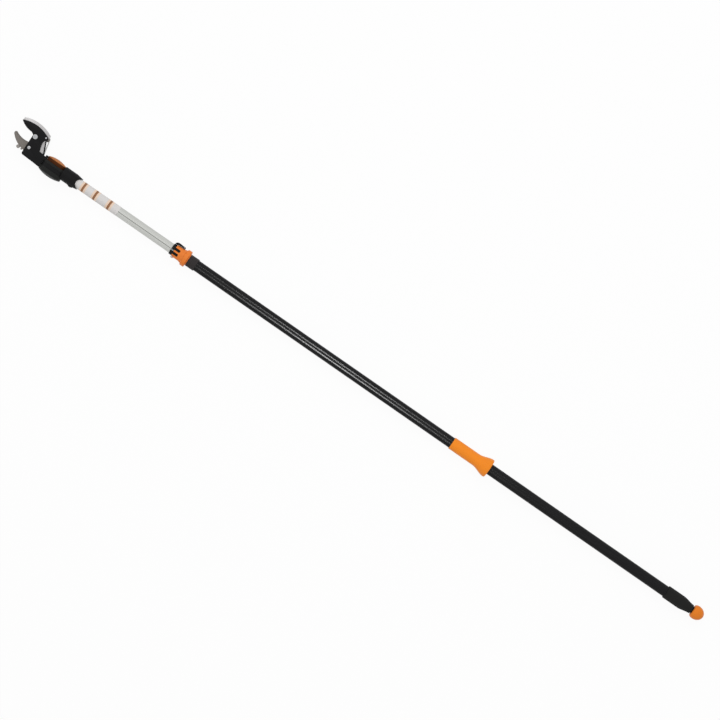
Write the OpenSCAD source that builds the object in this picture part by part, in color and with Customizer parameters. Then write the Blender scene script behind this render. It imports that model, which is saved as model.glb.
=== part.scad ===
// Telescopic tree pruner pole. A bypass cutting head sits on a tilting drum joint at the top of a
// silver inner tube, which slides out of a black outer tube. A sliding grip and an end knob pull
// the cord that closes the blade. The pole lies along X with the head at the negative end and the
// jaws flat, and the origin is on the pole's axis, midway along the bare stretch of outer tube.

/* [Outer tube] */
// Outside diameter of the outer tube
outer_d = 32.6; // [30:0.2:36]
// Wall of the outer tube
outer_wall = 1.4; // [1:0.1:1.8]
// Length of outer tube below the clamp's lower face
outer_len = 1718; // [1700:2:1800]
// Depth of the outer tube's seat in the clamp collar
outer_seat = 22; // [18:1:26]
// Distance from the origin to the clamp's lower face
clip_to_clamp = 472; // [440:2:500]
// Length of the ferrule under the clamp
ferrule_len = 27; // [20:1:36]
// Outside diameter of the ferrule
ferrule_d = 36.6; // [35.6:0.2:38]

/* [Inner tube] */
// Wall of the inner tube
inner_wall = 1.4; // [1:0.1:1.8]
// Gap all round between the two tubes
tube_gap = 0.3; // [0.25:0.05:0.5]
// Inner tube from the clamp's lower face up to its top end
inner_up = 422; // [410:1:430]
// Inner tube from the clamp's lower face down to its bottom end
inner_down = 1640; // [1600:5:1660]
// Length of the slide bush at the bottom end
bush_len = 25; // [15:1:35]
// Depth turned off the tube under the slide bush
bush_step = 0.6; // [0.4:0.1:0.8]
// Length of the printed wrap
wrap_len = 148; // [120:1:180]
// Thickness of the printed wrap
wrap_t = 0.3; // [0.2:0.05:0.5]

/* [Clamp] */
// Length of the clamp collar
collar_len = 48.5; // [44:0.5:54]
// Outside diameter of the collar
collar_d = 38.4; // [37.6:0.2:40]
// Outside diameter of the collar's flange
flange_d = 50.4; // [46:0.2:56]
// Width of the collar's flange
flange_w = 12.8; // [8:0.2:16]
// Flange from the collar's lower face
flange_in = 3; // [2:0.5:6]
// Length of the split collet
collet_len = 28.5; // [22:0.5:30]
// Outside diameter of the collet
collet_d = 34.6; // [34:0.2:35.4]
// Collet standing out of the collar's mouth
collet_out = 10; // [10:1:16]
// Width of the collet's split
split_w = 4; // [2:0.5:6]
// Width of the lock lever's cam
lever_w = 8; // [6:0.5:10]
// Length of the lock lever from its pin
lever_len = 28; // [26:1:32]
// Length of the lock lever's flat back
lever_flat = 17; // [12:1:20]
// Rise of the lock lever above its pin
lever_rise = 3.8; // [3:0.1:4.5]
// Diameter of the lever pin
lever_pin_d = 3; // [2:0.2:3.6]
// Lever pin from the collar's lower face
lever_pin_up = 29; // [28:0.5:30]
// Height of the lever pin above the pole's axis
lever_pin_h = 21.8; // [21.4:0.2:23]
// Radius of the lever's cam
cam_r = 3.2; // [2.8:0.1:3.4]

/* [Sliding grip] */
// Grip's upper end from the origin
grip_x = 444.5; // [420:0.5:480]
// Length of the grip
grip_len = 130; // [110:1:150]
// Diameter of the grip's sleeve
grip_d = 37.2; // [36:0.2:40]
// Widest diameter of the grip's flare
flare_d = 57.2; // [50:0.2:64]
// Length of the flare
flare_len = 46; // [36:1:56]
// Travel of the grip
pull_len = 120; // [80:1:200]
// Diameter of the key that joins the grip to its carrier
key_d = 6; // [5:0.2:8]
// Length of the carrier in the inner tube
carrier_len = 40; // [30:1:50]
// Diameter of the pull cord
cord_d = 3; // [2:0.1:3.4]

/* [Lower end] */
// Length of the end grip
end_grip_len = 88; // [80:1:100]
// Diameter of the end grip
end_grip_d = 38.8; // [37:0.2:44]
// Diameter of the end grip's nose
end_nose_d = 27.4; // [24:0.2:32]
// Length of the end grip's taper
end_taper = 37; // [25:1:45]
// Outer tube's seat in the end grip
end_seat = 56; // [45:1:60]
// Length of the plug in the outer tube's end
plug_len = 40; // [30:1:50]
// Length of the knob's seat ring
seat_ring_len = 4.3; // [3:0.1:8]
// Diameter of the knob's seat ring
seat_ring_d = 22; // [18:0.5:26]
// Diameter of the end knob
knob_d = 41.2; // [36:0.2:48]
// Length of the end knob
knob_len = 35.8; // [30:0.2:44]
// Knob's widest place from its upper face
knob_belly = 11.5; // [8:0.5:15]
// Length of cord behind the knob
knob_cord_len = 430; // [400:5:480]

/* [Tilt joint] */
// Tilt axis above the clamp's lower face
tilt_up = 467.6; // [465:0.2:470]
// Diameter of the drum
drum_d = 71.4; // [68:0.2:74]
// Upper face of the drum above the pole's axis
drum_top = 5.7; // [5:0.1:8]
// Lower edge of the drum below the pole's axis
drum_bottom = 27.5; // [26:0.5:30]
// Rise of the drum's domed underside
drum_dome = 6.8; // [4:0.2:9]
// Top of the knuckle below the pole's axis
knuckle_top = 2.6; // [2:0.1:3.2]
// Height of the knuckle
knuckle_h = 11.7; // [10.5:0.1:12.5]
// Diameter of the tilt bolt
tilt_bolt_d = 8; // [6:0.2:10]
// Diameter of the tilt knob
tilt_knob_d = 59; // [56:0.2:66]
// Height of the tilt knob's skirt
tilt_skirt = 11.6; // [8:0.2:12]
// Rise of the tilt knob's dome
tilt_dome = 6; // [5:0.2:10]
// Diameter of the pole socket
socket_d = 41.2; // [38:0.2:42]
// Length of the pole socket
socket_len = 53; // [48:0.5:58]
// Depth of the rounded notch in the socket's mouth
socket_notch = 11.5; // [8:0.5:13]
// Diameter of the boss round the socket's screw
screw_boss_d = 16; // [12:0.5:20]
// Height of the boss round the socket's screw
screw_boss_h = 1; // [0.6:0.1:2]

/* [Jaws] */
// Thickness of the hook plate
hook_t = 4; // [3:0.2:5]
// Thickness of the head cover
cover_t = 6; // [4:0.2:8]
// Thickness of the blade
blade_t = 3.9; // [3:0.1:5]
// Thickness of the rear cheek
cheek_t = 5; // [4:0.2:6]
// Bright edge of the hook plate beyond the cover
hook_rim = 8.4; // [5:0.2:10]
// Width of the cover's strip behind its window
strip_w = 3.2; // [2:0.2:4.4]
// Radius of the hook's back
hook_back_r = 97.8; // [94:0.2:100]
// Radius of the hook's mouth edge
hook_mouth_r = 63.2; // [61:0.2:64]
// Radius of the blade's cutting edge
blade_edge_r = 61.3; // [60:0.2:64]
// Radius of the blade's round tip
blade_tip_r = 5.4; // [5:0.1:5.8]
// Radius of the blade's back
blade_back_r = 74.2; // [73:0.2:75]
// Diameter of the pivot bolt's shank
pivot_d = 8; // [6:0.2:10]
// Diameter of the pivot bolt's head
pivot_head_d = 14.3; // [12:0.1:16]
// Diameter of the tail and guide pulleys
pulley_d = 14; // [12:0.2:15]
// Width of the tail and guide pulleys
pulley_w = 10; // [9:0.2:11]
// Diameter of the pulley pins
pulley_pin_d = 5; // [4:0.2:6]
// Diameter of the stud on the blade's back
stud_d = 9.6; // [7:0.2:11]

/* [Hidden] */
$fn = 96;

// Clearances: pieces that turn or slide on each other, pieces of one assembly, and open gaps
run = 0.06;
fit = 0.05;
clear = 0.3;
cut = 1;

// Pole, measured along X from the origin
clamp_x = -clip_to_clamp;
outer_r = outer_d / 2;
outer_bore_r = outer_r - outer_wall;
outer_top = clamp_x - outer_seat;
outer_end = clamp_x + outer_len;
inner_r = outer_bore_r - tube_gap;
inner_bore_r = inner_r - inner_wall;
inner_top = clamp_x - inner_up;
inner_end = clamp_x + inner_down;
collar_r = collar_d / 2;
collar_top = clamp_x - collar_len;
collet_top = collar_top - collet_out;
collet_r = collet_d / 2;
lever_pin_x = clamp_x - lever_pin_up;
cord_r = cord_d / 2;
edge = 1;
flange_start = collar_len - flange_in - flange_w;
window_land = 1;
window_len = collet_len - collet_out - window_land;
collar_swell = 2;
window_w = 8;
window_y = [1, -12];
split_off = 2;
pinch_r = 1.5;
pinch_head_r = 2.8;
pinch_wall = 0.6;
boss_r = 3.3;
pinch_y = -collet_r - pinch_wall - pinch_r - 2 * fit;
pinch = [collar_top + boss_r, pinch_y];
boss_len = sqrt(collar_r * collar_r - (pinch_y + pinch_head_r) * (pinch_y + pinch_head_r)) + clear;
lug_t = 3;
lug_r = lever_pin_d / 2 + edge;
cam_throw = 0.8;
cam_reach = cam_r + cam_throw + clear;
lever_low = collar_r + clear - lever_pin_h;
lever_drop = collet_r + clear - lever_pin_h;
lever_front = collar_len - lever_pin_up + clear;
lever_steps = 8;
lever_outline = concat(
    [[0, cam_r - cam_throw]],
    [for (i = [0 : lever_steps]) [
        mix(-lever_flat, -lever_len, sin(90 * i / lever_steps)),
        mix(lever_drop, lever_rise, cos(90 * i / lever_steps))
    ]],
    [[-lever_front, lever_drop], [-lever_front, lever_low], [-cam_r, lever_low]]
);
pad_top = lever_pin_h - cam_r - cam_throw - clear;
swell_start = collar_len - lever_pin_up + cam_reach;
pad_len = 7;
pad_w = lever_w - 1;
fork_z = lever_w / 2 + lug_t + 2 * clear;
fork_t = 2;

// Grip: the key stands in the middle of the sleeve and runs in slots on the pole's far side
key_x = grip_x + (grip_len - flare_len) / 2;
slot_w = key_d + 2 * clear;
carrier_r = inner_bore_r - clear;
end_grip_x = outer_end - end_seat;
end_grip_end = end_grip_x + end_grip_len;
knob_x = end_grip_end + seat_ring_len;
knob_face_r = 15;
egg_steps = 10;
taper_steps = 8;
flare_steps = 10;
flare_lip = 4;
key_bite = 1.2;
cord_hole_r = cord_r + 2 * clear;

// Tilt joint
tilt_x = clamp_x - tilt_up;
drum_r = drum_d / 2;
knuckle_r = drum_r - clear;
knuckle_base = knuckle_top + knuckle_h;
knuckle_wall = 2.65;
tilt_pulley_h = knuckle_h - 2 * knuckle_wall;
tilt_pulley_r = 9;
tilt_mid = -knuckle_top - knuckle_h / 2;
arm_x = drum_r + 2 * clear;
socket_r = socket_d / 2;
socket_end = tilt_x + arm_x + socket_len;
wrap_tuck = 1;
wrap_x = socket_end - socket_notch - wrap_tuck;
socket_screw_in = 31;
socket_screw_x = tilt_x + arm_x + socket_screw_in;
socket_step = 10;
knob_gap = 1;
socket_lip = arm_x - tilt_knob_d / 2 - knob_gap;
socket_edge = 2;
socket_taper = 20;
wrap_bore_r = inner_r + wrap_t + clear;
screw_seat = -socket_r - screw_boss_h + 2 * clear;
notch_half = 0.8 * socket_r;
notch_r = dome_r(notch_half, socket_notch);
knuckle_arm_w = 32;
chamber_r = 13.5;
chamber_h = tilt_pulley_h + 2 * clear;
cord_slot_h = 5;
cord_lane_z = -tilt_pulley_r - cord_r;
lug_w = 12;
lug_len = arm_x - tilt_knob_d / 2 - knob_gap;
lug_h = 18;

// Jaw layers along Z: cover in front, then hook plate, blade, rear cheek and pulleys
hook_front = hook_t / 2;
hook_rear = -hook_t / 2;
cover_front = hook_front + cover_t;
blade_front = hook_rear - clear;
blade_rear = blade_front - blade_t;
cheek_front = blade_rear - clear;
cheek_rear = cheek_front - cheek_t;
pulley_front = blade_rear - 2 * clear;
pulley_rear = pulley_front - pulley_w;
pulley_r = pulley_d / 2;
cord_gap = 0.2;
groove_r = pulley_r - cord_d + cord_gap;
loop_r = groove_r + cord_r + cord_gap;
neck_wall = 3;
neck_rear = pulley_rear - neck_wall;
groove_w = cord_d + cord_gap;
pulley_flange = (pulley_w - 2 * groove_w) / 3;
groove_z = [pulley_flange, 2 * pulley_flange + groove_w];
pulley_pin_r = pulley_pin_d / 2;
pivot_r = pivot_d / 2;
pivot_head_h = 3.4;
nut_h = 6;
nut_r = 7.5;
rivet_r = 1.8;
rivet_head = [4.9, 2];
corner_head = [2.9, 1.2];
screw_r = 2;
stud_shank_r = 2.5;
spring_r = 7;
spring_h = 3;
spring_wall = 1.8;
cheek_boss_r = spring_r + spring_wall;
blade_boss_r = 8.6;
pin_head = 2;
tilt_bolt_r = tilt_bolt_d / 2;
tilt_head_h = 5;
tilt_head_r = 7.5;
tilt_undercut = 2.5;

// Neck block behind the plates, measured from the tilt axis
neck_x = -66;
neck_low = -25.8;
neck_high = 10;
plate_end = -arm_x - clear;
bridge_t = cover_front - hook_rear;
pocket_gap = 2;
pocket_r = pulley_r + pocket_gap;
pocket_flare = 7;

// Places in the jaw plane, measured from the tilt axis
pivot = [-91.8, 39.5];
rivet = [-89.5, 4];
corner_rivet = [-64.5, 54];
tail = [-61.8, 53.2];
guide = [-50, 1];
hook_back = [-107.8, -28];
hook_mouth = [-110.1, 108.7];
hook_tip_x = -149.4;
blade_edge = [-115.5, 77];
blade_back = [-94.6, 63.2];
blade_tip = meet(blade_back, blade_back_r - blade_tip_r, blade_edge, blade_edge_r + blade_tip_r);
stud = [-119.5, -10.6];
nub = [-107.8, -11.6];
nub_r = 2.4;
neck_screws = [[-58, -17.5], [-44, -17.5]];

// Strip of the cover from the neck up to the hook's rear corner, and the window that it closes
strip_top = [-59, 48.5];
strip_foot = [-41.4, neck_high];
strip_angle = atan2(strip_foot[1] - strip_top[1], strip_foot[0] - strip_top[0]);
window_outline = [
    [-57.9, 11.5], [-43.6, 11.5], [-60.4, 47.6], [-62.6, 47.6], [-66, 40.2], [-64.8, 28.8], [-61.3, 19]
];
neck_outline = [
    [-100.7, 41], [-99.2, -19], [-96, -22.8], [-58.6, -24.3], [plate_end, neck_low],
    [plate_end, neck_high], strip_foot, strip_top, [-57.4, 50.5], [-57.4, 78], [-110, 84], [-110, 46]
];
cheek_outline = [
    [-100, 36], [-98, -14], [-95, -22], [-58.6, -24.3], [plate_end, neck_low], [plate_end, neck_high],
    [-70, neck_high], [-76, 22], [-83, 42]
];
pocket_outline = [
    [guide[0] - pocket_r, guide[1] - pocket_r], [guide[0] + pocket_r, guide[1] - pocket_r],
    [guide[0] + pocket_r, neck_high + cut], [guide[0] - pocket_r - pocket_flare, neck_high + cut]
];
blade_root = [
    [-99, -10.9], [-86, -9], [-80.5, 6], [-78.5, 26], [-74, 37], [-60, 47.5], [-66, 57], [-84, 50],
    [-98.5, 36], [-98.2, 27], [-100.4, 17.5]
];
blade_heel = blade_root[0][0] + cut;
fall_angle = atan2(guide[1] - tail[1], guide[0] - tail[0]);

// Radius of a dome from its edge radius and its rise
function dome_r(r, rise) = (r * r + rise * rise) / (2 * rise);

// A value between two others, and a soft step from 0 to 1
function mix(a, b, f) = a + (b - a) * f;
function smooth(f) = f * f * (3 - 2 * f);

// Place where two circles meet, on the left as seen from the first centre towards the second
function meet(a, ra, b, rb) =
    let (d = norm(b - a), u = (b - a) / d, along = (d * d + ra * ra - rb * rb) / (2 * d))
    a + along * u + sqrt(ra * ra - along * along) * [-u[1], u[0]];

// Shared shapes

// A round bar along X between two places
module bar_x(x0, x1, r)
    translate([x0, 0, 0]) rotate([0, 90, 0]) cylinder(r = r, h = x1 - x0);

// A tube along X between two places
module tube_x(x0, x1, r_out, r_in)
    difference() {
        bar_x(x0, x1, r_out);
        bar_x(x0 - cut, x1 + cut, r_in);
    }

// A solid turned about X: its outline is drawn with the place along X first and the radius second
module turned_x(x)
    translate([x, 0, 0]) rotate([0, 90, 0]) rotate_extrude() mirror([1, -1, 0]) children();

// Places a shape in the head, measured from the tilt axis
module at_head() translate([tilt_x, 0, 0]) children();

// A round bar along Z through a place in the jaw plane
module bar_z(p, z0, z1, r) translate([p[0], p[1], z0]) cylinder(r = r, h = z1 - z0);

// A round bar along Y on the tilt axis
module bar_y(y0, y1, r) translate([0, y0, 0]) rotate([-90, 0, 0]) cylinder(r = r, h = y1 - y0);

// A solid turned about Y: its outline is drawn with the radius first and the place along Y second
module turned_y() rotate([-90, 0, 0]) rotate_extrude() children();

// A flat plate in the jaw plane
module plate(z0, z1) translate([0, 0, z0]) linear_extrude(z1 - z0) children();

// A disc in the jaw plane's outline
module disc(p, r) translate(p) circle(r);

// The slot on the pole's far side, along X between two places
module key_slot(x0, x1) translate([x0, -slot_w / 2, -outer_d]) cube([x1 - x0, slot_w, outer_d]);

// Cutting head

// Outline of hook and neck: the hook is the lens between two arcs, and rim widens its back
module head_outline(rim) intersection() {
    disc(hook_back, hook_back_r + rim);
    translate([hook_tip_x, hook_back[1]]) square(2 * hook_back_r);
    union() {
        disc(hook_mouth, hook_mouth_r);
        polygon(neck_outline);
    }
}

module hook_plate() color("silver") at_head() difference() {
    plate(hook_rear, hook_front) head_outline(hook_rim);
    bar_z(pivot, hook_rear - cut, hook_front + cut, pivot_d / 2 + fit);
    for (p = [rivet, corner_rivet]) bar_z(p, hook_rear - cut, hook_front + cut, rivet_r + fit);
    for (p = neck_screws) bar_z(p, hook_rear - cut, hook_front + cut, screw_r + fit);
}

// Window in the cover, through which the hook plate shows
module cover_window() difference() {
    polygon(window_outline);
    translate(strip_top) rotate(strip_angle) translate([-hook_back_r, -strip_w]) square(2 * hook_back_r);
}

module head_cover() color("black") at_head() difference() {
    plate(hook_front, cover_front) head_outline(0);
    plate(hook_front - cut, cover_front + cut) cover_window();
    bar_z(pivot, hook_front - cut, cover_front + cut, pivot_d / 2 + fit);
    for (p = [rivet, corner_rivet]) bar_z(p, hook_front - cut, cover_front + cut, rivet_r + fit);
}

// Black neck with the rear cheek, the cord's pulley pocket and the drum's two discs
module neck_frame() color("black") at_head() difference() {
    union() {
        plate(cheek_rear, cheek_front) polygon(cheek_outline);
        bar_z(pivot, cheek_rear, cheek_front, cheek_boss_r);
        plate(neck_rear, hook_rear) intersection() {
            polygon(neck_outline);
            translate([neck_x, neck_low]) square([-neck_x, neck_high - neck_low]);
        }
        turned_y() drum_base_outline();
        bar_y(clear - knuckle_top, drum_top, drum_r);
        drum_bridge(plate_end - clear, hook_rear - bridge_t);
        drum_bridge(plate_end + fit, hook_rear);
        translate([plate_end + fit, clear - knuckle_top, -lug_w / 2]) cube([lug_len, lug_h, lug_w]);
    }
    bar_z(pivot, cheek_rear - cut, cheek_front + cut, pivot_r + fit);
    bar_z(pivot, cheek_front - spring_h - clear, cheek_front + cut, spring_r + clear);
    bar_y(-drum_bottom - drum_dome - cut, drum_top + cut, tilt_bolt_r + fit);
    bar_y(-drum_bottom - drum_dome - cut, -drum_bottom, tilt_head_r + clear);
    plate(pulley_rear - clear, pulley_front + clear) polygon(pocket_outline);
    bar_z(guide, neck_rear - cut, hook_rear + cut, pulley_pin_r + fit);
    for (p = neck_screws) bar_z(p, neck_rear - cut, hook_rear + cut, screw_r + fit);
    translate([guide[0], tilt_mid, cord_lane_z]) rotate([0, 90, 0]) cylinder(r = cord_d, h = -guide[0]);
}

// Webs from the neck to the drum's two discs, from a place along X on, in one layer along Z
module drum_bridge(x, z) {
    translate([x, neck_low, z]) cube([-x, -knuckle_base - clear - neck_low, bridge_t]);
    translate([x, clear - knuckle_top, z]) cube([-x, drum_top + knuckle_top - clear, bridge_t]);
}

// Drum's lower disc, with its domed underside
module drum_base_outline() intersection() {
    translate([0, -drum_bottom - drum_dome]) square([drum_r, drum_bottom + drum_dome - knuckle_base - clear]);
    translate([0, dome_r(drum_r, drum_dome) - drum_bottom - drum_dome]) circle(dome_r(drum_r, drum_dome));
}

module pivot_bolt() color("silver") at_head() difference() {
    union() {
        bar_z(pivot, cheek_rear - nut_h, cover_front, pivot_r);
        bar_z(pivot, cover_front, cover_front + pivot_head_h, pivot_head_d / 2);
    }
    translate([pivot[0], pivot[1], cover_front + pivot_head_h / 2])
        cylinder(d = pivot_head_d / 2, h = pivot_head_h, $fn = 6);
}

module pivot_nut() color("silver") at_head() difference() {
    translate([pivot[0], pivot[1], cheek_rear - nut_h]) cylinder(r = nut_r, h = nut_h, $fn = 6);
    bar_z(pivot, cheek_rear - nut_h - cut, cheek_rear + cut, pivot_r + fit);
}

// Two domed rivets that hold the cover to the hook plate
module cover_rivets() color("silver") at_head() {
    domed_rivet(rivet, rivet_head[0], rivet_head[1]);
    domed_rivet(corner_rivet, corner_head[0], corner_head[1]);
}

module domed_rivet(p, head_r, head_h) {
    bar_z(p, hook_rear, cover_front, rivet_r);
    translate([p[0], p[1], cover_front]) rotate_extrude() intersection() {
        square([head_r, head_h]);
        translate([0, head_h - dome_r(head_r, head_h)]) circle(dome_r(head_r, head_h));
    }
}

// Two screws that hold the plates to the neck, put in from behind
module neck_screws() color("silver") at_head() for (p = neck_screws) {
    bar_z(p, neck_rear, hook_front, screw_r);
    bar_z(p, neck_rear - screw_r, neck_rear, 2 * screw_r);
}

// Coil of the spring that opens the blade, sunk in the rear cheek round the pivot bolt
module return_spring() color("silver") at_head() difference() {
    bar_z(pivot, cheek_front - spring_h, cheek_front, spring_r);
    bar_z(pivot, cheek_front - spring_h - cut, cheek_front + cut, pivot_r + cut);
}

// Blade

module blade_outline() {
    difference() {
        intersection() {
            disc(blade_back, blade_back_r);
            polygon([
                blade_tip, mix(blade_back, blade_tip, 2), [blade_heel, blade_back[1] - blade_back_r],
                [blade_heel, blade_back[1]], blade_edge
            ]);
        }
        disc(blade_edge, blade_edge_r);
    }
    polygon(blade_root);
    disc(blade_tip, blade_tip_r);
    disc(pivot, blade_boss_r);
    disc(tail, pulley_r - clear);
    disc(stud, stud_d / 2 + clear);
    disc(nub, nub_r);
}

module blade() color("darkgray") at_head() difference() {
    plate(blade_rear, blade_front) blade_outline();
    bar_z(pivot, blade_rear - cut, blade_front + cut, pivot_r + run);
    bar_z(tail, blade_rear - cut, blade_front + cut, pulley_pin_r + fit);
    bar_z(stud, blade_rear - cut, blade_front + cut, stud_shank_r + fit);
}

module blade_stud() color("silver") at_head() {
    bar_z(stud, blade_rear - stud_shank_r, blade_front, stud_shank_r);
    bar_z(stud, blade_front, blade_front + stud_shank_r, stud_d / 2);
    bar_z(stud, blade_rear - stud_shank_r, blade_rear, stud_d / 2);
}

// Cord tackle

// A pulley with two grooves side by side, turning on a pin along Z
module double_pulley(p) translate([p[0], p[1], pulley_rear]) rotate_extrude() difference() {
    translate([pulley_pin_r + run, 0]) square([pulley_r - pulley_pin_r - run, pulley_w]);
    for (z = groove_z) translate([groove_r, z]) square([pulley_r, groove_w]);
}

module tail_pulley() color("dimgray") at_head() double_pulley(tail);

module guide_pulley() color("dimgray") at_head() double_pulley(guide);

module tail_pin() color("silver") at_head() {
    bar_z(tail, pulley_rear - clear, blade_front, pulley_pin_r);
    bar_z(tail, pulley_rear - clear - pulley_pin_r, pulley_rear - clear, pulley_pin_r + pin_head);
}

module guide_pin() color("silver") at_head() bar_z(guide, neck_rear, hook_rear, pulley_pin_r);

// Four falls of cord between the two pulleys, over the tail pulley in two loops
module cord_falls() color("lightgray") at_head() for (z = groove_z) {
    for (side = [-1, 1]) cord_fall(side, pulley_rear + z + groove_w / 2);
    translate([tail[0], tail[1], pulley_rear + z + groove_w / 2]) rotate(fall_angle + 90)
        rotate_extrude(angle = 180) translate([loop_r, 0]) circle(cord_r, $fn = 24);
}

module cord_fall(side, z)
    translate([tail[0], tail[1], z]) rotate(fall_angle) translate([0, side * loop_r, 0]) rotate([0, 90, 0])
        cylinder(r = cord_r, h = norm(guide - tail), $fn = 24);

// Tilt joint

module tilt_bolt() color("silver") at_head() {
    bar_y(-drum_bottom, drum_top + tilt_skirt, tilt_bolt_r);
    translate([0, -drum_bottom - tilt_head_h, 0]) rotate([-90, 0, 0])
        cylinder(r = tilt_head_r, h = tilt_head_h, $fn = 6);
}

module tilt_pulley() color("dimgray") at_head() turned_y() difference() {
    translate([tilt_bolt_r + run, tilt_mid - tilt_pulley_h / 2])
        square([tilt_pulley_r - tilt_bolt_r - run, tilt_pulley_h]);
    translate([tilt_pulley_r, tilt_mid]) circle(cord_d / 2);
}

// Orange domed knob that locks the tilt
module tilt_knob() color("darkorange") at_head() difference() {
    turned_y() intersection() {
        translate([0, drum_top + clear]) polygon([
            [0, 0], [tilt_knob_d / 2 - tilt_undercut, 0], [tilt_knob_d / 2, tilt_skirt / 2],
            [tilt_knob_d / 2, tilt_skirt + tilt_dome], [0, tilt_skirt + tilt_dome]
        ]);
        translate([0, drum_top + clear + tilt_skirt + tilt_dome - dome_r(tilt_knob_d / 2, tilt_dome)])
            circle(dome_r(tilt_knob_d / 2, tilt_dome));
    }
    bar_y(drum_top - cut, drum_top + tilt_skirt + clear, tilt_bolt_r + run);
}

// Black socket on the inner tube, with the knuckle that turns between the drum's discs
module pole_socket() color("black") difference() {
    union() {
        at_head() bar_y(-knuckle_base, -knuckle_top, knuckle_r);
        at_head() translate([drum_r / 2, -knuckle_base, -knuckle_arm_w / 2])
            cube([drum_r / 2 + socket_step, knuckle_h, knuckle_arm_w]);
        difference() {
            turned_x(tilt_x + arm_x) polygon([
                [-socket_lip, 0], [-socket_lip, socket_r - edge], [edge - socket_lip, socket_r],
                [socket_len - socket_taper, socket_r], [socket_len, wrap_bore_r + socket_edge],
                [socket_len, 0]
            ]);
            at_head() bar_y(-socket_d, drum_top + clear, arm_x);
        }
        translate([socket_screw_x, 0, 0]) bar_y(-socket_r - screw_boss_h, 0, screw_boss_d / 2);
    }
    at_head() bar_y(-knuckle_base - cut, cut, tilt_bolt_r + run);
    at_head() bar_y(tilt_mid - chamber_h / 2, tilt_mid + chamber_h / 2, chamber_r);
    at_head() translate([-drum_d, tilt_mid - cord_slot_h / 2, -drum_d])
        cube([drum_d + chamber_r / 2, cord_slot_h, drum_d]);
    at_head() translate([0, tilt_mid - cord_slot_h / 2, -chamber_r])
        cube([arm_x + socket_step, cord_slot_h, 2 * chamber_r]);
    bar_x(inner_top, socket_end + cut, inner_r + fit);
    bar_x(inner_top - socket_step / 2, inner_top + cut, inner_bore_r);
    bar_x(wrap_x - clear, socket_end + cut, wrap_bore_r);
    translate([socket_end - socket_notch + notch_r, 0, -socket_d]) cylinder(r = notch_r, h = 2 * socket_d);
    translate([socket_screw_x, 0, 0]) bar_y(-socket_d, 0, screw_r + fit);
    translate([socket_screw_x, 0, 0]) bar_y(-socket_d, screw_seat, 2 * screw_r + fit);
}

module socket_screw() color("black") translate([socket_screw_x, 0, 0]) {
    bar_y(screw_seat - cut, -inner_bore_r, screw_r);
    bar_y(screw_seat - screw_r, screw_seat, 2 * screw_r);
}

// Inner tube

module inner_tube() color("silver") difference() {
    tube_x(inner_top, inner_end, inner_r, inner_bore_r);
    tube_x(inner_end - bush_len, inner_end + cut, outer_r, inner_r - bush_step);
    key_slot(key_x - slot_w / 2, inner_end + cut);
    translate([socket_screw_x, 0, 0]) bar_y(-socket_d, 0, screw_r + fit);
}

module label_wrap() color("white") tube_x(wrap_x, wrap_x + wrap_len, inner_r + wrap_t, inner_r + fit);

module slide_bush() color("ivory") difference() {
    tube_x(inner_end - bush_len, inner_end, outer_bore_r - run, inner_r - bush_step + fit);
    key_slot(inner_end - bush_len - cut, inner_end + cut);
}

// Outer tube and clamp

module outer_tube() color("black") difference() {
    tube_x(outer_top, outer_end, outer_r, outer_bore_r);
    key_slot(key_x - slot_w / 2, key_x + pull_len + slot_w / 2);
}

module ferrule() color("black") difference() {
    turned_x(clamp_x) polygon([
        [0, 0], [0, ferrule_d / 2], [ferrule_len - edge, ferrule_d / 2], [ferrule_len, ferrule_d / 2 - edge],
        [ferrule_len, 0]
    ]);
    bar_x(clamp_x - cut, clamp_x + ferrule_len + cut, outer_r + fit);
}

module clamp_collar() color("darkorange") difference() {
    union() {
        turned_x(collar_top) polygon([
            [0, 0], [0, collar_r - edge], [edge, collar_r], [swell_start, collar_r],
            [flange_start - edge, collar_r + collar_swell], [flange_start + edge, flange_d / 2 - edge],
            [flange_start + 2 * edge, flange_d / 2], [flange_start + flange_w - edge, flange_d / 2],
            [flange_start + flange_w, flange_d / 2 - edge], [flange_start + flange_w + edge, collar_r],
            [collar_len, collar_r - edge / 2], [collar_len, 0]
        ]);
        for (side = [-1, 1]) lever_lug(side);
        bar_z(pinch, -boss_len, boss_len, boss_r);
    }
    bar_x(outer_top, clamp_x + cut, outer_r + fit);
    bar_x(collar_top - cut, clamp_x, inner_r + run);
    bar_x(collar_top - cut, collet_top + collet_len + fit, collet_r + fit);
    translate([collar_top - cut, window_y[0], inner_r / 2]) cube([window_len + cut, window_w, collar_d]);
    translate([collar_top - cut, window_y[1], inner_r / 2]) cube([window_len + cut, window_w, collar_d]);
    translate([lever_pin_x - cam_reach, pad_top, -lever_w / 2 - clear])
        cube([2 * cam_reach, lever_pin_h, lever_w + 2 * clear]);
    translate([lever_pin_x - pad_len / 2 - clear, 0, -pad_w / 2 - clear])
        cube([pad_len + 2 * clear, collar_d, pad_w + 2 * clear]);
    bar_z([lever_pin_x, lever_pin_h], -collar_d, collar_d, lever_pin_d / 2 + fit);
    bar_z(pinch, -boss_len - cut, boss_len + cut, pinch_r + fit);
}

// Ear that holds one end of the lever pin
module lever_lug(side) {
    z0 = side > 0 ? lever_w / 2 + clear : -lever_w / 2 - clear - lug_t;
    bar_z([lever_pin_x, lever_pin_h], z0, z0 + lug_t, lug_r);
    translate([lever_pin_x - lug_r, inner_r + cut, z0]) cube([2 * lug_r, lever_pin_h - inner_r - cut, lug_t]);
}

// Split ring that grips the inner tube, with room for the pad
module clamp_collet() color("black") difference() {
    tube_x(collet_top, collet_top + collet_len, collet_r, inner_r + run);
    translate([collet_top - cut, -split_w / 2 - split_off, 0])
        cube([collet_len + 2 * cut, split_w, collet_d]);
    translate([lever_pin_x - pad_len / 2 - 2 * clear, 0, -pad_w / 2 - 2 * clear])
        cube([collet_len, collet_d, pad_w + 4 * clear]);
}

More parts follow.
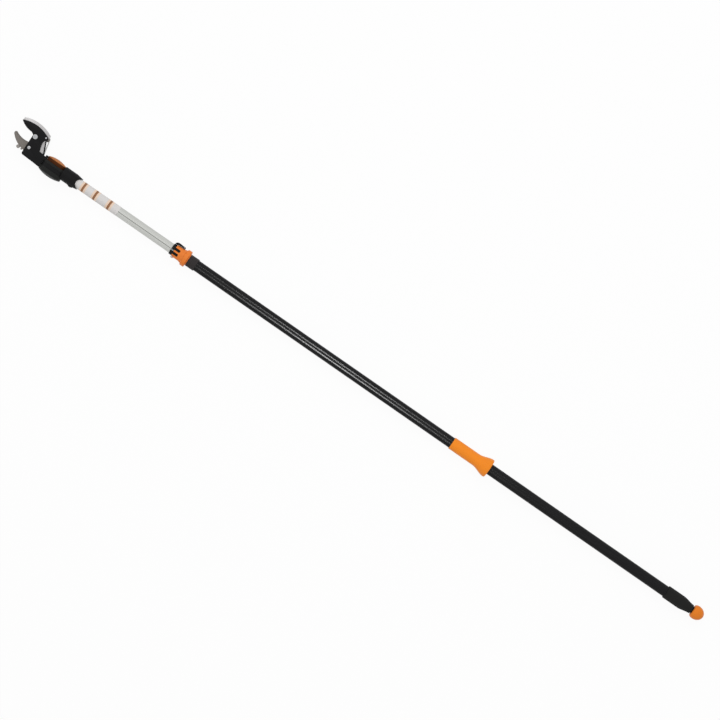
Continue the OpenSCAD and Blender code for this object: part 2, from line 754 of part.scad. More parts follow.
module pinch_screw() color("silver") {
    bar_z(pinch, -boss_len, boss_len, pinch_r);
    bar_z(pinch, boss_len, boss_len + pinch_r, pinch_head_r);
}

module lever_pin() color("silver")
    bar_z([lever_pin_x, lever_pin_h], -fork_z - fork_t, fork_z + fork_t, lever_pin_d / 2);

// Arched flip lever, forked over the collar's two ears, with an eccentric cam on its pin
module lock_lever() color("black") translate([lever_pin_x, lever_pin_h, 0]) difference() {
    plate(-fork_z - fork_t, fork_z + fork_t) {
        disc([0, 0], lug_r + clear);
        disc([0, -cam_throw], cam_r);
        polygon(lever_outline);
    }
    for (z0 = [lever_w / 2, -fork_z])
        translate([-cam_r - clear, -lever_len, z0]) cube([lever_len, 2 * lever_len, fork_z - lever_w / 2]);
    bar_z([0, 0], -collar_d, collar_d, lever_pin_d / 2 + run);
}

// Pad that the cam presses on the inner tube
module lock_pad() color("dimgray") intersection() {
    translate([lever_pin_x - pad_len / 2, 0, -pad_w / 2]) cube([pad_len, pad_top - clear, pad_w]);
    tube_x(lever_pin_x - pad_len, lever_pin_x + pad_len, collar_d, inner_r + clear);
}

// Lower end

module end_grip() color("black") difference() {
    turned_x(end_grip_x) polygon(concat(
        [[0, 0], [0, end_grip_d / 2 - edge], [edge, end_grip_d / 2]],
        [for (i = [0 : taper_steps]) [
            end_grip_len - end_taper + end_taper * i / taper_steps,
            mix(end_grip_d / 2, end_nose_d / 2, smooth(i / taper_steps))
        ]],
        [[end_grip_len, 0]]
    ));
    bar_x(end_grip_x - cut, outer_end, outer_r + fit);
    bar_x(outer_end - cut, end_grip_end + cut, cord_hole_r);
}

module end_plug() color("dimgray") tube_x(outer_end - plug_len, outer_end, outer_bore_r - fit, cord_hole_r);

module knob_seat() color("black") tube_x(end_grip_end, knob_x - clear, seat_ring_d / 2, cord_hole_r);

// Egg-shaped pull knob: two quarter ellipses about its widest place
module end_knob() color("darkorange") difference() {
    turned_x(knob_x) polygon(concat(
        [[0, 0]],
        [for (i = [0 : egg_steps]) [
            knob_belly * (1 - cos(90 * i / egg_steps)),
            mix(knob_face_r, knob_d / 2, sin(90 * i / egg_steps))
        ]],
        [for (i = [1 : egg_steps]) [
            mix(knob_belly, knob_len, sin(90 * i / egg_steps)),
            i == egg_steps ? 0 : knob_d / 2 * cos(90 * i / egg_steps)
        ]]
    ));
    bar_x(knob_x - cut, knob_x + knob_belly, cord_r + fit);
}

module knob_cord() color("lightgray") bar_x(knob_x - knob_cord_len, knob_x + knob_belly, cord_r);

// Sliding grip

module slide_grip() color("darkorange") difference() {
    turned_x(grip_x) polygon(concat(
        [[0, 0], [0, grip_d / 2 - edge], [edge, grip_d / 2]],
        [for (i = [0 : flare_steps]) [
            grip_len - flare_len + (flare_len - flare_lip) * i / flare_steps,
            mix(grip_d / 2, flare_d / 2, smooth(i / flare_steps))
        ]],
        [[grip_len - edge, flare_d / 2 - edge], [grip_len, flare_d / 2 - 2 * edge], [grip_len, 0]]
    ));
    bar_x(grip_x - cut, grip_x + grip_len + cut, outer_r + clear);
    bar_z([key_x, 0], -outer_r - key_bite, 0, key_d / 2 + fit);
}

module grip_carrier() color("dimgray") difference() {
    bar_x(key_x - carrier_len / 2, key_x + carrier_len / 2, carrier_r);
    bar_z([key_x, 0], -outer_d, -key_d, key_d / 2 + fit);
    bar_x(key_x - carrier_len, key_x - key_d, cord_r + fit);
}

module grip_key() color("silver") bar_z([key_x, 0], -outer_r - key_bite, -key_d, key_d / 2);

module pull_cord() color("lightgray") bar_x(inner_top + socket_step, key_x - key_d, cord_r);

// Drawing

hook_plate();
head_cover();
neck_frame();
pivot_bolt();
pivot_nut();
cover_rivets();
neck_screws();
guide_pin();
guide_pulley();
cord_falls();
return_spring();
tilt_bolt();
tilt_pulley();
blade();
blade_stud();
tail_pin();
tail_pulley();
tilt_knob();
pole_socket();
socket_screw();
inner_tube();
label_wrap();
slide_bush();
outer_tube();
ferrule();
clamp_collar();
clamp_collet();
pinch_screw();
lever_pin();
lock_lever();
lock_pad();
end_grip();
end_plug();
knob_seat();
slide_grip();
grip_carrier();
grip_key();
pull_cord();
end_knob();
knob_cord();
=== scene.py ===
"""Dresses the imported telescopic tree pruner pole, from its tubes up to the jaws and down to the end knob.

The pole lies along X with its head at the negative end, the jaws lie flat in X and Y, and the
camera looks down along Z. Sizes are written in millimetres and built in metres.
"""
from math import atan2, cos, pi, radians, sin, sqrt, tan

import bmesh
import bpy
from mathutils import Matrix, Vector
from mathutils.geometry import tessellate_polygon


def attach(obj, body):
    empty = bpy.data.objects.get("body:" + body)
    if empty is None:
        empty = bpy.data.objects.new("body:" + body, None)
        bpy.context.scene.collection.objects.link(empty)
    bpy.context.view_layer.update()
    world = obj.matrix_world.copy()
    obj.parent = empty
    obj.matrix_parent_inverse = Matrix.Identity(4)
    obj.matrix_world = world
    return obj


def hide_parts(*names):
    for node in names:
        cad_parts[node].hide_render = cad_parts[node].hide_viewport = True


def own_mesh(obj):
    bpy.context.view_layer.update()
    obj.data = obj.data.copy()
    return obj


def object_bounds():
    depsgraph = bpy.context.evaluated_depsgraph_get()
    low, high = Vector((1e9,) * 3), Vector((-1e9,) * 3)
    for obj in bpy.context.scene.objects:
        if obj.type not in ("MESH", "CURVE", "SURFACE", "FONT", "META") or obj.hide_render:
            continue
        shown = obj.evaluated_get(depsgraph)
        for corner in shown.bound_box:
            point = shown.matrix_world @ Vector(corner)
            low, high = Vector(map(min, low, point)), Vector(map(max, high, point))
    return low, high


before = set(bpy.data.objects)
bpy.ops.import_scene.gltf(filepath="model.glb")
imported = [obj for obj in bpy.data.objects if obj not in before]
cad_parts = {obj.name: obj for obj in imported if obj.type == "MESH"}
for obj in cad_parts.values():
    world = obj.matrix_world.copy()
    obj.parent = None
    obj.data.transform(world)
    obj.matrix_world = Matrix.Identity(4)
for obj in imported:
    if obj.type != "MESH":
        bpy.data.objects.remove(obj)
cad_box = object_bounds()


# Outer tube. A drawn aluminium tube, smooth and black anodised, which carries the grip and the
# clamp. Its skin is faintly uneven, with fine rub marks along the tube.


class Wire:
    """A socket in a node tree. Sums on it add Math nodes, and node() adds any other node."""

    def __init__(self, tree, socket=None):
        self.tree, self.socket = tree, socket

    def node(self, kind, settings=None, sockets=None, out=0):
        """A new node of a kind: its settings come first, then its sockets' values or links."""
        made = self.tree.nodes.new(kind)
        for name, value in (settings or {}).items():
            setattr(made, name, value)
        for name, value in (sockets or {}).items():
            if isinstance(value, Wire):
                self.tree.links.new(value.socket, made.inputs[name])
            else:
                made.inputs[name].default_value = value
        return Wire(self.tree, made.outputs[out] if made.outputs else None)

    def sum(self, operation, first, second):
        return self.node("ShaderNodeMath", {"operation": operation}, {0: first, 1: second})

    def __add__(self, other):
        return self.sum("ADD", self, other)

    def __sub__(self, other):
        return self.sum("SUBTRACT", self, other)

    def __rsub__(self, other):
        return self.sum("SUBTRACT", other, self)

    def __mul__(self, other):
        return self.sum("MULTIPLY", self, other)

    def __truediv__(self, other):
        return self.sum("DIVIDE", self, other)

    def __lt__(self, other):
        return self.sum("LESS_THAN", self, other)

    def __gt__(self, other):
        return self.sum("GREATER_THAN", self, other)

    def __abs__(self):
        return self.sum("ABSOLUTE", self, 0)

    __radd__, __rmul__ = __add__, __mul__

    def tint(self, low, high):
        """A colour between two, by this wire's value."""
        return self.node("ShaderNodeMix", {"data_type": "RGBA"}, {0: self, 6: low, 7: high}, out=2)

    def stretch(self, scale):
        """Coordinates scaled along each axis."""
        return self.node("ShaderNodeVectorMath", {"operation": "MULTIPLY"}, {0: self, 1: scale})

    def noise(self, scale, detail=2.0):
        """Noise from 0 to 1 over these coordinates."""
        return self.node("ShaderNodeTexNoise", {}, {"Vector": self, "Scale": scale, "Detail": detail})

    def relief(self, depth, strength=1.0, under=None):
        """A normal bumped by this wire's value, over another normal."""
        sockets = {"Height": self, "Distance": depth, "Strength": strength}
        if under is not None:
            sockets["Normal"] = under
        return self.node("ShaderNodeBump", {}, sockets)

    def surface(self, sockets):
        """Ends a finish in its shader."""
        shader = self.node("ShaderNodeBsdfPrincipled", {}, sockets)
        self.node("ShaderNodeOutputMaterial", {}, {"Surface": shader})


def screen(red, green, blue):
    """A colour as it shows on a screen, from 0 to 255, for a shader's socket."""
    shares = [c / 255 for c in (red, green, blue)]
    return tuple(c / 12.92 if c < 0.04 else ((c + 0.055) / 1.055) ** 2.4 for c in shares) + (1.0,)


def start_finish(name):
    """A new material with no nodes but its Object coordinates, and the wire from them."""
    material = bpy.data.materials.new(name)
    material.use_nodes = True
    material.node_tree.nodes.clear()
    return material, Wire(material.node_tree).node("ShaderNodeTexCoord", out="Object")


def coat(material, *nodes):
    """Gives CAD nodes a finish."""
    for node in nodes:
        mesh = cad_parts[node].data
        mesh.materials.clear()
        mesh.materials.append(material)


tube_black, place = start_finish("tube_black")
skin = place.noise(700)
rub = place.stretch((6, 420, 420)).noise(1, 3)
place.surface({
    "Base Color": rub.tint(screen(20, 20, 21), screen(30, 30, 31)),
    "Roughness": 0.22 + rub * 0.1,
    "Specular IOR Level": 0.06,
    "Normal": skin.relief(0.00002),
})
coat(tube_black, "outer_tube")


# Ferrule. A short moulded black sleeve under the clamp, a slide fit on the outer tube, with a
# rounded lower lip. Its plastic is a lighter, browner black than that of the other mouldings.


def eased(corners, steps=4):
    """An outline with round corners: each corner is (a, b) or (a, b, radius)."""
    made = []
    for i, corner in enumerate(corners):
        here = Vector(corner[:2])
        if len(corner) < 3:
            made.append(here)
            continue
        back = Vector(corners[i - 1][:2]) - here
        on = Vector(corners[(i + 1) % len(corners)][:2]) - here
        reach = min(corner[2] / tan(back.angle(on) / 2), 0.49 * back.length, 0.49 * on.length)
        start, end = here + back.normalized() * reach, here + on.normalized() * reach
        for k in range(steps + 1):
            f = k / steps
            made.append(start * (1 - f) ** 2 + here * (2 * f * (1 - f)) + end * f * f)
    return made


def shell(name, corners, faces, material):
    """A piece from its corners in millimetres, with faces outwards and soft shading up to 32 degrees."""
    mesh = bpy.data.meshes.new(name)
    mesh.from_pydata([[c * 0.001 for c in p] for p in corners], [], faces)
    tidy = bmesh.new()
    tidy.from_mesh(mesh)
    bmesh.ops.remove_doubles(tidy, verts=tidy.verts, dist=1e-7)
    bmesh.ops.recalc_face_normals(tidy, faces=tidy.faces)
    tidy.to_mesh(mesh)
    tidy.free()
    if material:
        mesh.materials.append(material)
    piece = bpy.data.objects.new(name, mesh)
    bpy.context.scene.collection.objects.link(piece)
    soften(mesh)
    return piece


def soften(mesh):
    """Smooth shading, with sharp edges where faces meet at more than 32 degrees."""
    mesh.polygons.foreach_set("use_smooth", [True] * len(mesh.polygons))
    mesh.set_sharp_from_angle(angle=radians(32))


def turned(name, outline, material, axis="X", at=(0, 0, 0), steps=96, start=0.0):
    """A piece turned about an axis: the outline's points are (place along the axis, radius).

    An outline that starts and ends on the axis is solid, and any other is closed into a ring. The
    first corner of each ring lies at the start angle."""
    order = {"X": (0, 1, 2), "Y": (1, 2, 0), "Z": (2, 0, 1)}[axis]
    corners, rings = [], []
    for along, radius in outline:
        first, count = len(corners), steps if radius > 1e-6 else 1
        for k in range(count):
            corner = [0, 0, 0]
            swing = start + 2 * pi * k / steps
            for a, value in zip(order, (along, radius * cos(swing), radius * sin(swing))):
                corner[a] = value + at[a]
            corners.append(corner)
        rings.append([first + k % count for k in range(steps)])
    pairs = list(zip(rings, rings[1:]))
    if outline[0][1] > 1e-6:
        pairs.append((rings[-1], rings[0]))
    faces = []
    for low, high in pairs:
        for k in range(steps):
            n = (k + 1) % steps
            face = list(dict.fromkeys((low[k], low[n], high[n], high[k])))
            if len(face) > 2:
                faces.append(face)
    return shell(name, corners, faces, material)


def moulded(name, colour, scuff, roughness, gloss, grain=0.00005):
    """A moulded plastic: spark-eroded grain, faint flow marks, and edges rubbed to a scuff colour."""
    material, place = start_finish(name)
    flow = place.stretch((1, 2, 2)).noise(22, 3)
    round_edge = place.node("ShaderNodeBevel", {"samples": 4}, {"Radius": 0.0007})
    face = place.node("ShaderNodeNewGeometry", out="Normal")
    alike = place.node("ShaderNodeVectorMath", {"operation": "DOT_PRODUCT"}, {
        0: round_edge, 1: face,
    }, "Value")
    edge = 1 - alike
    rubbed = edge * 2.5 * place.noise(160, 3)
    dark = tuple(c * 0.9 for c in colour[:3]) + (1.0,)
    place.surface({
        "Base Color": rubbed.tint(flow.tint(dark, colour), scuff),
        "Roughness": roughness - 0.06 + flow * 0.12,
        "Specular IOR Level": gloss,
        "Normal": place.noise(1500).relief(grain, 0.6, round_edge),
    })
    return material


def seat(piece, body, slot, *nodes):
    """Rides a piece on its body and hides the CAD nodes that it stands for. Its slot is not used."""
    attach(piece, body)
    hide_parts(*nodes)


black_plastic = moulded("black_plastic", screen(25, 25, 26), screen(58, 58, 59), 0.42, 0.08)
ferrule_black = moulded("ferrule_black", screen(49, 46, 46), screen(78, 75, 75), 0.5, 0.14)

clamp_low = -472
ferrule_r, ferrule_bore, ferrule_len = 18.3, 16.35, 27
ferrule = turned("ferrule_sleeve", eased([
    (clamp_low, ferrule_bore), (clamp_low, ferrule_r, 0.4), (clamp_low + ferrule_len, ferrule_r, 1.4),
    (clamp_low + ferrule_len, ferrule_bore, 0.3),
]), ferrule_black)
seat(ferrule, "handle", "black_plastic", "ferrule")


# Clamp collar. An orange moulding with a raised flange, two windows in its mouth, two ears for the
# lever pin and a groove at its lower end. It seats the outer tube and holds the collet.


def prism(name, outline, low, high, material, holes=(), ease=0.0, front=None):
    """A plate between two heights along Z from an outline, with round holes (x, y, r) and eased rims.

    The outline runs counter-clockwise. front gives each outline point its own setback on the
    high face, as on a ground edge."""
    def moved(loop, setback):
        made = []
        for i, here in enumerate(loop):
            back, on = here - loop[i - 1], loop[(i + 1) % len(loop)] - here
            left = [Vector((-v.y, v.x)).normalized() for v in (back, on)]
            amount = setback[i] if isinstance(setback, list) else setback
            made.append(here + (left[0] + left[1]) * (amount / max(1 + left[0].dot(left[1]), 0.3)))
        return made

    rims = [[Vector(p[:2]) for p in outline]]
    for x, y, r in holes:
        rims.append([Vector((x + r * cos(a), y - r * sin(a))) for a in (2 * pi * k / 48 for k in range(48))])
    if front:
        levels = [(low, 0.0), (low + 0.4, 0.0), (high, front)]
    elif ease:
        levels = [(low, ease), (low + 0.3 * ease, 0.3 * ease), (low + ease, 0.0),
                  (high - ease, 0.0), (high - 0.3 * ease, 0.3 * ease), (high, ease)]
    else:
        levels = [(low, 0.0), (high, 0.0)]
    corners, stacks = [], []
    for height, setback in levels:
        stack = []
        for n, rim in enumerate(rims):
            amount = (0.0 if n else setback) if isinstance(setback, list) else setback
            stack.append(list(range(len(corners), len(corners) + len(rim))))
            corners += [(p.x, p.y, height) for p in moved(rim, amount)]
        stacks.append(stack)
    faces = []
    for lower, upper in zip(stacks, stacks[1:]):
        for a, b in zip(lower, upper):
            faces += [(a[k], a[k - 1], b[k - 1], b[k]) for k in range(len(a))]
    for stack in (stacks[0], stacks[-1]):
        flat = [n for rim in stack for n in rim]
        cap = tessellate_polygon([[Vector((*corners[n][:2], 0)) for n in rim] for rim in stack])
        faces += [[flat[n] for n in face] for face in cap]
    return shell(name, corners, faces, material)


def joined(piece, added=(), cut=()):
    """A piece with others fused to it and then cut from it. The others are used up."""
    for kind, tools in (("UNION", added), ("DIFFERENCE", cut)):
        for tool in tools:
            step = piece.modifiers.new("step", "BOOLEAN")
            step.operation, step.solver, step.object = kind, "MANIFOLD", tool
            bpy.context.view_layer.update()
            ready = piece.evaluated_get(bpy.context.evaluated_depsgraph_get())
            mesh = bpy.data.meshes.new_from_object(ready)
            piece.modifiers.remove(step)
            piece.data = mesh
            bpy.data.objects.remove(tool)
    while len(piece.data.materials) > 1:
        piece.data.materials.pop()
    soften(piece.data)
    return piece


def bar(radius, low, high, at=(0, 0, 0), axis="Z", steps=64):
    """A plain round bar, used to cut or to add to a piece. Its corners lie off those of other bars."""
    ends = [(low, 0), (low, radius), (high, radius), (high, 0)]
    return turned("bar", ends, None, axis, at, steps, start=radius)


def block(low, high, ease=0.0):
    """A plain block between two corners, used to cut or to add to a piece."""
    rect = [(low[0], low[1]), (high[0], low[1]), (high[0], high[1]), (low[0], high[1])]
    return prism("block", rect, low[2], high[2], None, ease=ease)


collar_orange = moulded("collar_orange", screen(238, 131, 54), screen(246, 168, 104), 0.4, 0.18, 0.00003)

collar_top, collar_len, collar_r, flange_r = -520.5, 48.5, 19.2, 25.2
collet_bore, tube_run, tube_seat = 17.35, 14.66, 16.35
lever_pin = (-501, 21.8)
cone_start, shoulder, shoulder_r, flange_start, flange_end = 23.8, 31.7, 21.2, 33.9, 45.4
groove, groove_r, tube_stop, collet_room = 46.2, 17.6, 26.5, 18.55
window_end, window_w, window_depth = 17.5, 8, 7.3
ear_r, ear_t, ear_root, cam_w, pin_bore = 2.5, 3, 15.6, 8.6, 1.55
pinch, pinch_half, boss_r = (-517.2, -19.5), 9.77, 3.3
collar = turned("collar_moulding", [(collar_top + a, r) for a, r in eased([
    (0, collet_bore), (0, collar_r, 1.2), (cone_start, collar_r, 6), (shoulder, shoulder_r, 1.5),
    (flange_start, flange_r, 1.6), (flange_end, flange_r, 1.6), (groove, collar_r + 0.4, 0.8),
    (groove + 0.1, groove_r), (collar_len, groove_r), (collar_len, tube_seat), (tube_stop, tube_seat),
    (tube_stop, tube_run), (collet_room, tube_run), (collet_room, collet_bore),
])], collar_orange)
ears = [
    prism("ear", eased([
        (lever_pin[0] - ear_r, ear_root), (lever_pin[0] + ear_r, ear_root),
        (lever_pin[0] + ear_r, lever_pin[1] + ear_r, 2.4), (lever_pin[0] - ear_r, lever_pin[1] + ear_r, 2.4),
    ]), z, z + ear_t, None, ease=0.4)
    for z in (cam_w / 2, -cam_w / 2 - ear_t)
]
windows = [
    prism("window", eased([
        (collar_top - 2, y), (collar_top + window_end, y, 3.6), (collar_top + window_end, y + window_w, 3.6),
        (collar_top - 2, y + window_w),
    ]), window_depth, 40, None)
    for y in (1, -12)
]
cam_reach, pad_top, pad_well = 4.3, 17.5, 3.8
joined(collar, [*ears, bar(boss_r, -pinch_half, pinch_half, (*pinch, 0))], [
    bar(tube_run, collar_top - 1, clamp_low, axis="X", steps=96),
    bar(collet_bore, collar_top - 1, collar_top + collet_room, axis="X", steps=96),
    *windows,
    block((lever_pin[0] - cam_reach, pad_top, -cam_w / 2), (lever_pin[0] + cam_reach, 40, cam_w / 2)),
    block((lever_pin[0] - pad_well, 10, -pad_well), (lever_pin[0] + pad_well, 19, pad_well)),
    bar(pin_bore, -20, 20, (*lever_pin, 0)),
    bar(pin_bore, -20, 20, (*pinch, 0)),
])
seat(collar, "handle", "orange_plastic", "clamp_collar")


# Collet. A black split ring in the collar's mouth, which the pinch screw closes on the inner tube.
# Its split faces the viewer, and a notch in its lower end leaves room for the cam's pad.
collet_top, collet_len, collet_r, split_y, split_w = -530.5, 28.5, 17.3, -4, 4
pad_room = 4.1
collet = turned("collet_ring", eased([
    (collet_top, tube_run, 0.3), (collet_top, collet_r, 0.8), (collet_top + collet_len, collet_r, 0.3),
    (collet_top + collet_len, tube_run),
]), black_plastic, steps=94)
joined(collet, cut=[
    block((collet_top - 1, split_y, 0), (collet_top + collet_len + 1, split_y + split_w, 30)),
    block((lever_pin[0] - pad_room, 5, -pad_room), (lever_pin[0] + 20, 40, pad_room)),
])
seat(collet, "handle", "black_plastic", "clamp_collet")


# Lock lever with its pin, pad and pinch screw. The lever is a black moulding forked over the ears,
# the pin and the screw are bright zinc-plated steel, and the pad is grey plastic.


def plated(name, colour, roughness, brush, metal=1.0):
    """A bright metal with fine tool marks, which run along the axis with the smallest brush number."""
    material, place = start_finish(name)
    marks = place.stretch(brush).noise(1, 3)
    cloud = place.noise(60, 3)
    dark = tuple(c * 0.82 for c in colour[:3]) + (1.0,)
    place.surface({
        "Base Color": (marks * 0.6 + cloud * 0.4).tint(dark, colour),
        "Metallic": metal,
        "Roughness": roughness - 0.08 + cloud * 0.16,
        "Normal": marks.relief(0.00003, 0.5),
    })
    return material


bright_steel = plated("bright_steel", screen(184, 185, 187), 0.3, (900, 900, 60))
grey_plastic = moulded("grey_plastic", screen(66, 66, 68), screen(104, 104, 105), 0.45, 0.2)
coat(black_plastic, "lock_lever")
coat(bright_steel, "lever_pin", "pinch_screw")
coat(grey_plastic, "lock_pad")


# Inner tube. A clear-anodised drawn aluminium tube that slides in the outer one, with fine draw
# lines and one painted dark reflection line along its front. A pale plastic bush guides its lower end.
silver_tube, place = start_finish("silver_tube")
draw = place.stretch((3, 900, 900)).noise(1, 4)
bloom = place.stretch((4, 30, 30)).noise(1, 2)
# Painted reflection: a thin dark line on the tube's front half, for the dark gap between two strip lights
# that the tube would mirror.
reflection_line_y, reflection_line_half = -0.0011, 0.0008
across = place.node("ShaderNodeSeparateXYZ", {}, {0: place}, "Y")
height = place.node("ShaderNodeSeparateXYZ", {}, {0: place}, "Z")
painted_reflection_line = (abs(across - reflection_line_y) < reflection_line_half) * (0 < height)
place.surface({
    "Base Color": painted_reflection_line.tint(
        draw.tint(screen(186, 187, 183), screen(208, 209, 205)), screen(112, 114, 110),
    ),
    "Metallic": 0.85,
    "Roughness": 0.36 + bloom * 0.12,
    "Normal": draw.relief(0.00003, 0.5),
})
pale_plastic = moulded("pale_plastic", screen(214, 210, 196), screen(232, 230, 220), 0.45, 0.35)
coat(silver_tube, "inner_tube")
coat(pale_plastic, "slide_bush")


# Printed wrap. A white plastic film glued round the top of the inner tube, with three brown
# stripes that each have a pale orange band on either side.
label_film, place = start_finish("label_film")
along = place.node("ShaderNodeSeparateXYZ", {}, {0: place}, "X")
stripe_half, band_half, stripe_middles = 0.0034, 0.0095, (-0.8352, -0.7952, -0.7466)
stripe = band = None
for middle in stripe_middles:
    away = abs(along - middle)
    core, halo = away < stripe_half, away < band_half
    stripe, band = (core, halo) if stripe is None else (stripe + core, band + halo)
film = place.noise(300).tint(screen(212, 209, 208), screen(221, 218, 216))
place.surface({
    "Base Color": stripe.tint(band.tint(film, screen(233, 207, 186)), screen(146, 98, 62)),
    "Roughness": 0.32 + place.noise(90) * 0.1,
    "Specular IOR Level": 0.4,
    "Normal": place.noise(500).relief(0.00003, 0.4),
})
coat(label_film, "label_wrap")


# Pole socket. A black moulding that holds the inner tube and ends in a flat knuckle between the
# drum's discs, recessed for their spigots. Its mouth has a rounded notch over the wrap, and one
# blackened screw in a low boss holds the tube.
tilt = -939.6
arm, socket_r, socket_len, socket_lip, taper_start, mouth_r = 36.3, 20.6, 53, 6.4, 33, 17.2
knuckle_r, knuckle_low, knuckle_high, knuckle_arm = 35.4, -14.3, -2.6, 16
tube_top, tube_fit, wrap_bore = -894, 14.65, 15.2
socket_mouth = tilt + arm + socket_len
notch_depth, notch_r = 11.5, 17.56
screw_x, screw_boss_r, screw_boss_low, screw_boss_high = -872.3, 8, -21.6, -5
screw_bore, screw_head_bore, screw_sunk = 2.05, 4.05, 0.6
lane_low, lane_high, side_lane, side_lane_end, lane_half = -10.95, -5.95, 71, 6.8, 13.3
chamber_low, chamber_high, chamber_r = -11.8, -5.1, 13.5
barrel = turned("socket_moulding", [(tilt + arm + a, r) for a, r in eased([
    (-socket_lip, 0), (-socket_lip, socket_r, 1.6), (taper_start, socket_r, 12), (socket_len, mouth_r, 0.8),
    (socket_len, 0),
])], black_plastic)
joined(barrel, cut=[bar(arm, -40, 6, (tilt, 0, 0), "Y", 96)])
spigot_r, spigot_h, recess_r, bolt_bore, tube_bore = 34.3, 1.0, 34.6, 4.06, 13.2
knuckle = turned("knuckle", eased([
    (knuckle_low, 0), (knuckle_low, knuckle_r, 0.3), (knuckle_high, knuckle_r, 0.3), (knuckle_high, 0),
]), None, "Y", (tilt, 0, 0))
web_start, web_end = tilt + 20, tilt + 45.7
web = block((web_start, knuckle_low + 0.1, -knuckle_arm), (web_end, knuckle_high - 0.1, knuckle_arm), 0.2)
boss = turned("boss", eased([
    (screw_boss_low, 0), (screw_boss_low, screw_boss_r, 0.8), (screw_boss_high, screw_boss_r),
    (screw_boss_high, 0),
]), None, "Y", (screw_x, 0, 0), steps=64, start=0.03)
joined(barrel, [knuckle, web, boss], [
    bar(recess_r, knuckle_low - 2, knuckle_low + spigot_h, (tilt, 0, 0), "Y", 96),
    bar(recess_r, knuckle_high - spigot_h, knuckle_high + 2, (tilt, 0, 0), "Y", 96),
    bar(bolt_bore, -40, 10, (tilt, 0, 0), "Y"),
    bar(chamber_r, chamber_low, chamber_high, (tilt, 0, 0), "Y"),
    block((tilt - side_lane, lane_low, -side_lane), (tilt + side_lane_end, lane_high, 0.13)),
    block((tilt + 0.17, lane_low + 0.05, -lane_half), (tilt + arm + 10, lane_high - 0.05, lane_half)),
    bar(tube_fit, tube_top, socket_mouth + 1, axis="X", steps=96),
    bar(tube_bore, tube_top - 5, tube_top + 1, axis="X"),
    bar(wrap_bore, socket_mouth - notch_depth - 1.3, socket_mouth + 1, axis="X", steps=96),
    bar(notch_r, -60, 60, (socket_mouth - notch_depth + notch_r, 0, 0), steps=128),
    bar(screw_bore, -40, 0, (screw_x, 0, 0), "Y"),
    bar(screw_head_bore, -40, screw_boss_low + screw_sunk, (screw_x, 0, 0), "Y"),
])
seat(barrel, "upper_pole", "black_plastic", "pole_socket")
black_steel = plated("black_steel", screen(46, 46, 47), 0.45, (300, 300, 300))
coat(black_steel, "socket_screw")


# Neck and drum. A black moulding with the rear cheek behind the blade, the pocket of the guide
# pulley, and the drum's two round discs, the lower one domed, which clasp the knuckle.


def head(points):
    """Corners measured from the tilt axis, as the head's are, set in the frame."""
    return [(p[0] + tilt, *p[1:]) for p in points]


pivot, tail, guide = ((-91.8 + tilt, 39.5), (-61.8 + tilt, 53.2), (-50 + tilt, 1))
cheek_low, cheek_high, neck_rear, hook_rear = -11.5, -6.5, -19.8, -2
drum_r, drum_rim, drum_dome, drum_top = 35.7, -27.5, 6.8, 5.7
plate_end, neck_low, neck_high = -36.6, -25.8, 10
joint_low, joint_high = -14.6, -2.3
drum_black = moulded("drum_black", screen(35, 36, 35), screen(64, 64, 64), 0.42, 0.08)
dome_r = (drum_r ** 2 + drum_dome ** 2) / (2 * drum_dome)
dome = [drum_r * f / 16 for f in range(17)]
neck = prism("neck_casting", eased(head([
    (-66, -24, 2), (-58.6, -24.3), (plate_end, neck_low), (plate_end, neck_high), (-66, neck_high, 1.5),
])), neck_rear, hook_rear, drum_black, ease=0.8)
lower_disc = turned("disc", [
    *[(drum_rim - drum_dome + dome_r - sqrt(dome_r ** 2 - r * r), r) for r in dome[:-1]],
    *eased([
        (drum_rim - 0.6, drum_r - 2), (drum_rim, drum_r, 1), (joint_low, drum_r, 0.8), (joint_low, spigot_r),
        (joint_low + spigot_h, spigot_r), (joint_low + spigot_h, 0),
    ])[1:],
], None, "Y", (tilt, 0, 0))
upper_disc = turned("disc", eased([
    (joint_high - spigot_h, 0), (joint_high - spigot_h, spigot_r), (joint_high, spigot_r),
    (joint_high, drum_r, 0.8), (drum_top, drum_r, 1.2), (drum_top, 0),
]), None, "Y", (tilt, 0, 0))
cheek = prism("cheek", eased(head([
    (-100, 36), (-98, -14, 2), (-95, -22, 2), (-62, -23.5), (-54.7, -20), (-54.7, -14), (-62, 9.6),
    (-70, 10, 2), (-76, 22, 3), (-83, 42),
])), cheek_low, cheek_high, None, ease=0.5)
webs = [
    block((tilt + x, y0, z), (tilt, y1, z + 10), 0.4)
    for x, z in ((plate_end - 0.3, -12), (plate_end + 0.05, -2))
    for y0, y1 in ((neck_low + 0.1, joint_low - 0.1), (joint_high + 0.1, drum_top - 0.1))
]
lug_len, lug_low, lug_high, lug_half = 6.7, -2, 15.7, 6
lug = block((tilt + plate_end + 0.1, lug_low, -lug_half),
            (tilt + plate_end + lug_len, lug_high, lug_half), 0.6)
tongue_end, tongue_rear, tongue_front = -34.6, -19, -12.2
tongue = block((tilt + plate_end - 0.4, knuckle_low, tongue_rear),
               (tilt + tongue_end, knuckle_high, tongue_front), 0.3)
pocket_low, pocket_high = -17.1, -6.4
screws = [(-58 + tilt, -17.5), (-44 + tilt, -17.5)]
cord_lane, cord_lane_r = (-8.45, -10.5), 3
pivot_boss_r, pivot_bore, spring_well_r, spring_well = 8.8, 4.05, 7.3, 3.3
bolt_well_r, pulley_pin_bore = 7.8, 2.55
pivot_boss = bar(pivot_boss_r, cheek_low + 0.1, cheek_high - 0.1, (*pivot, 0))
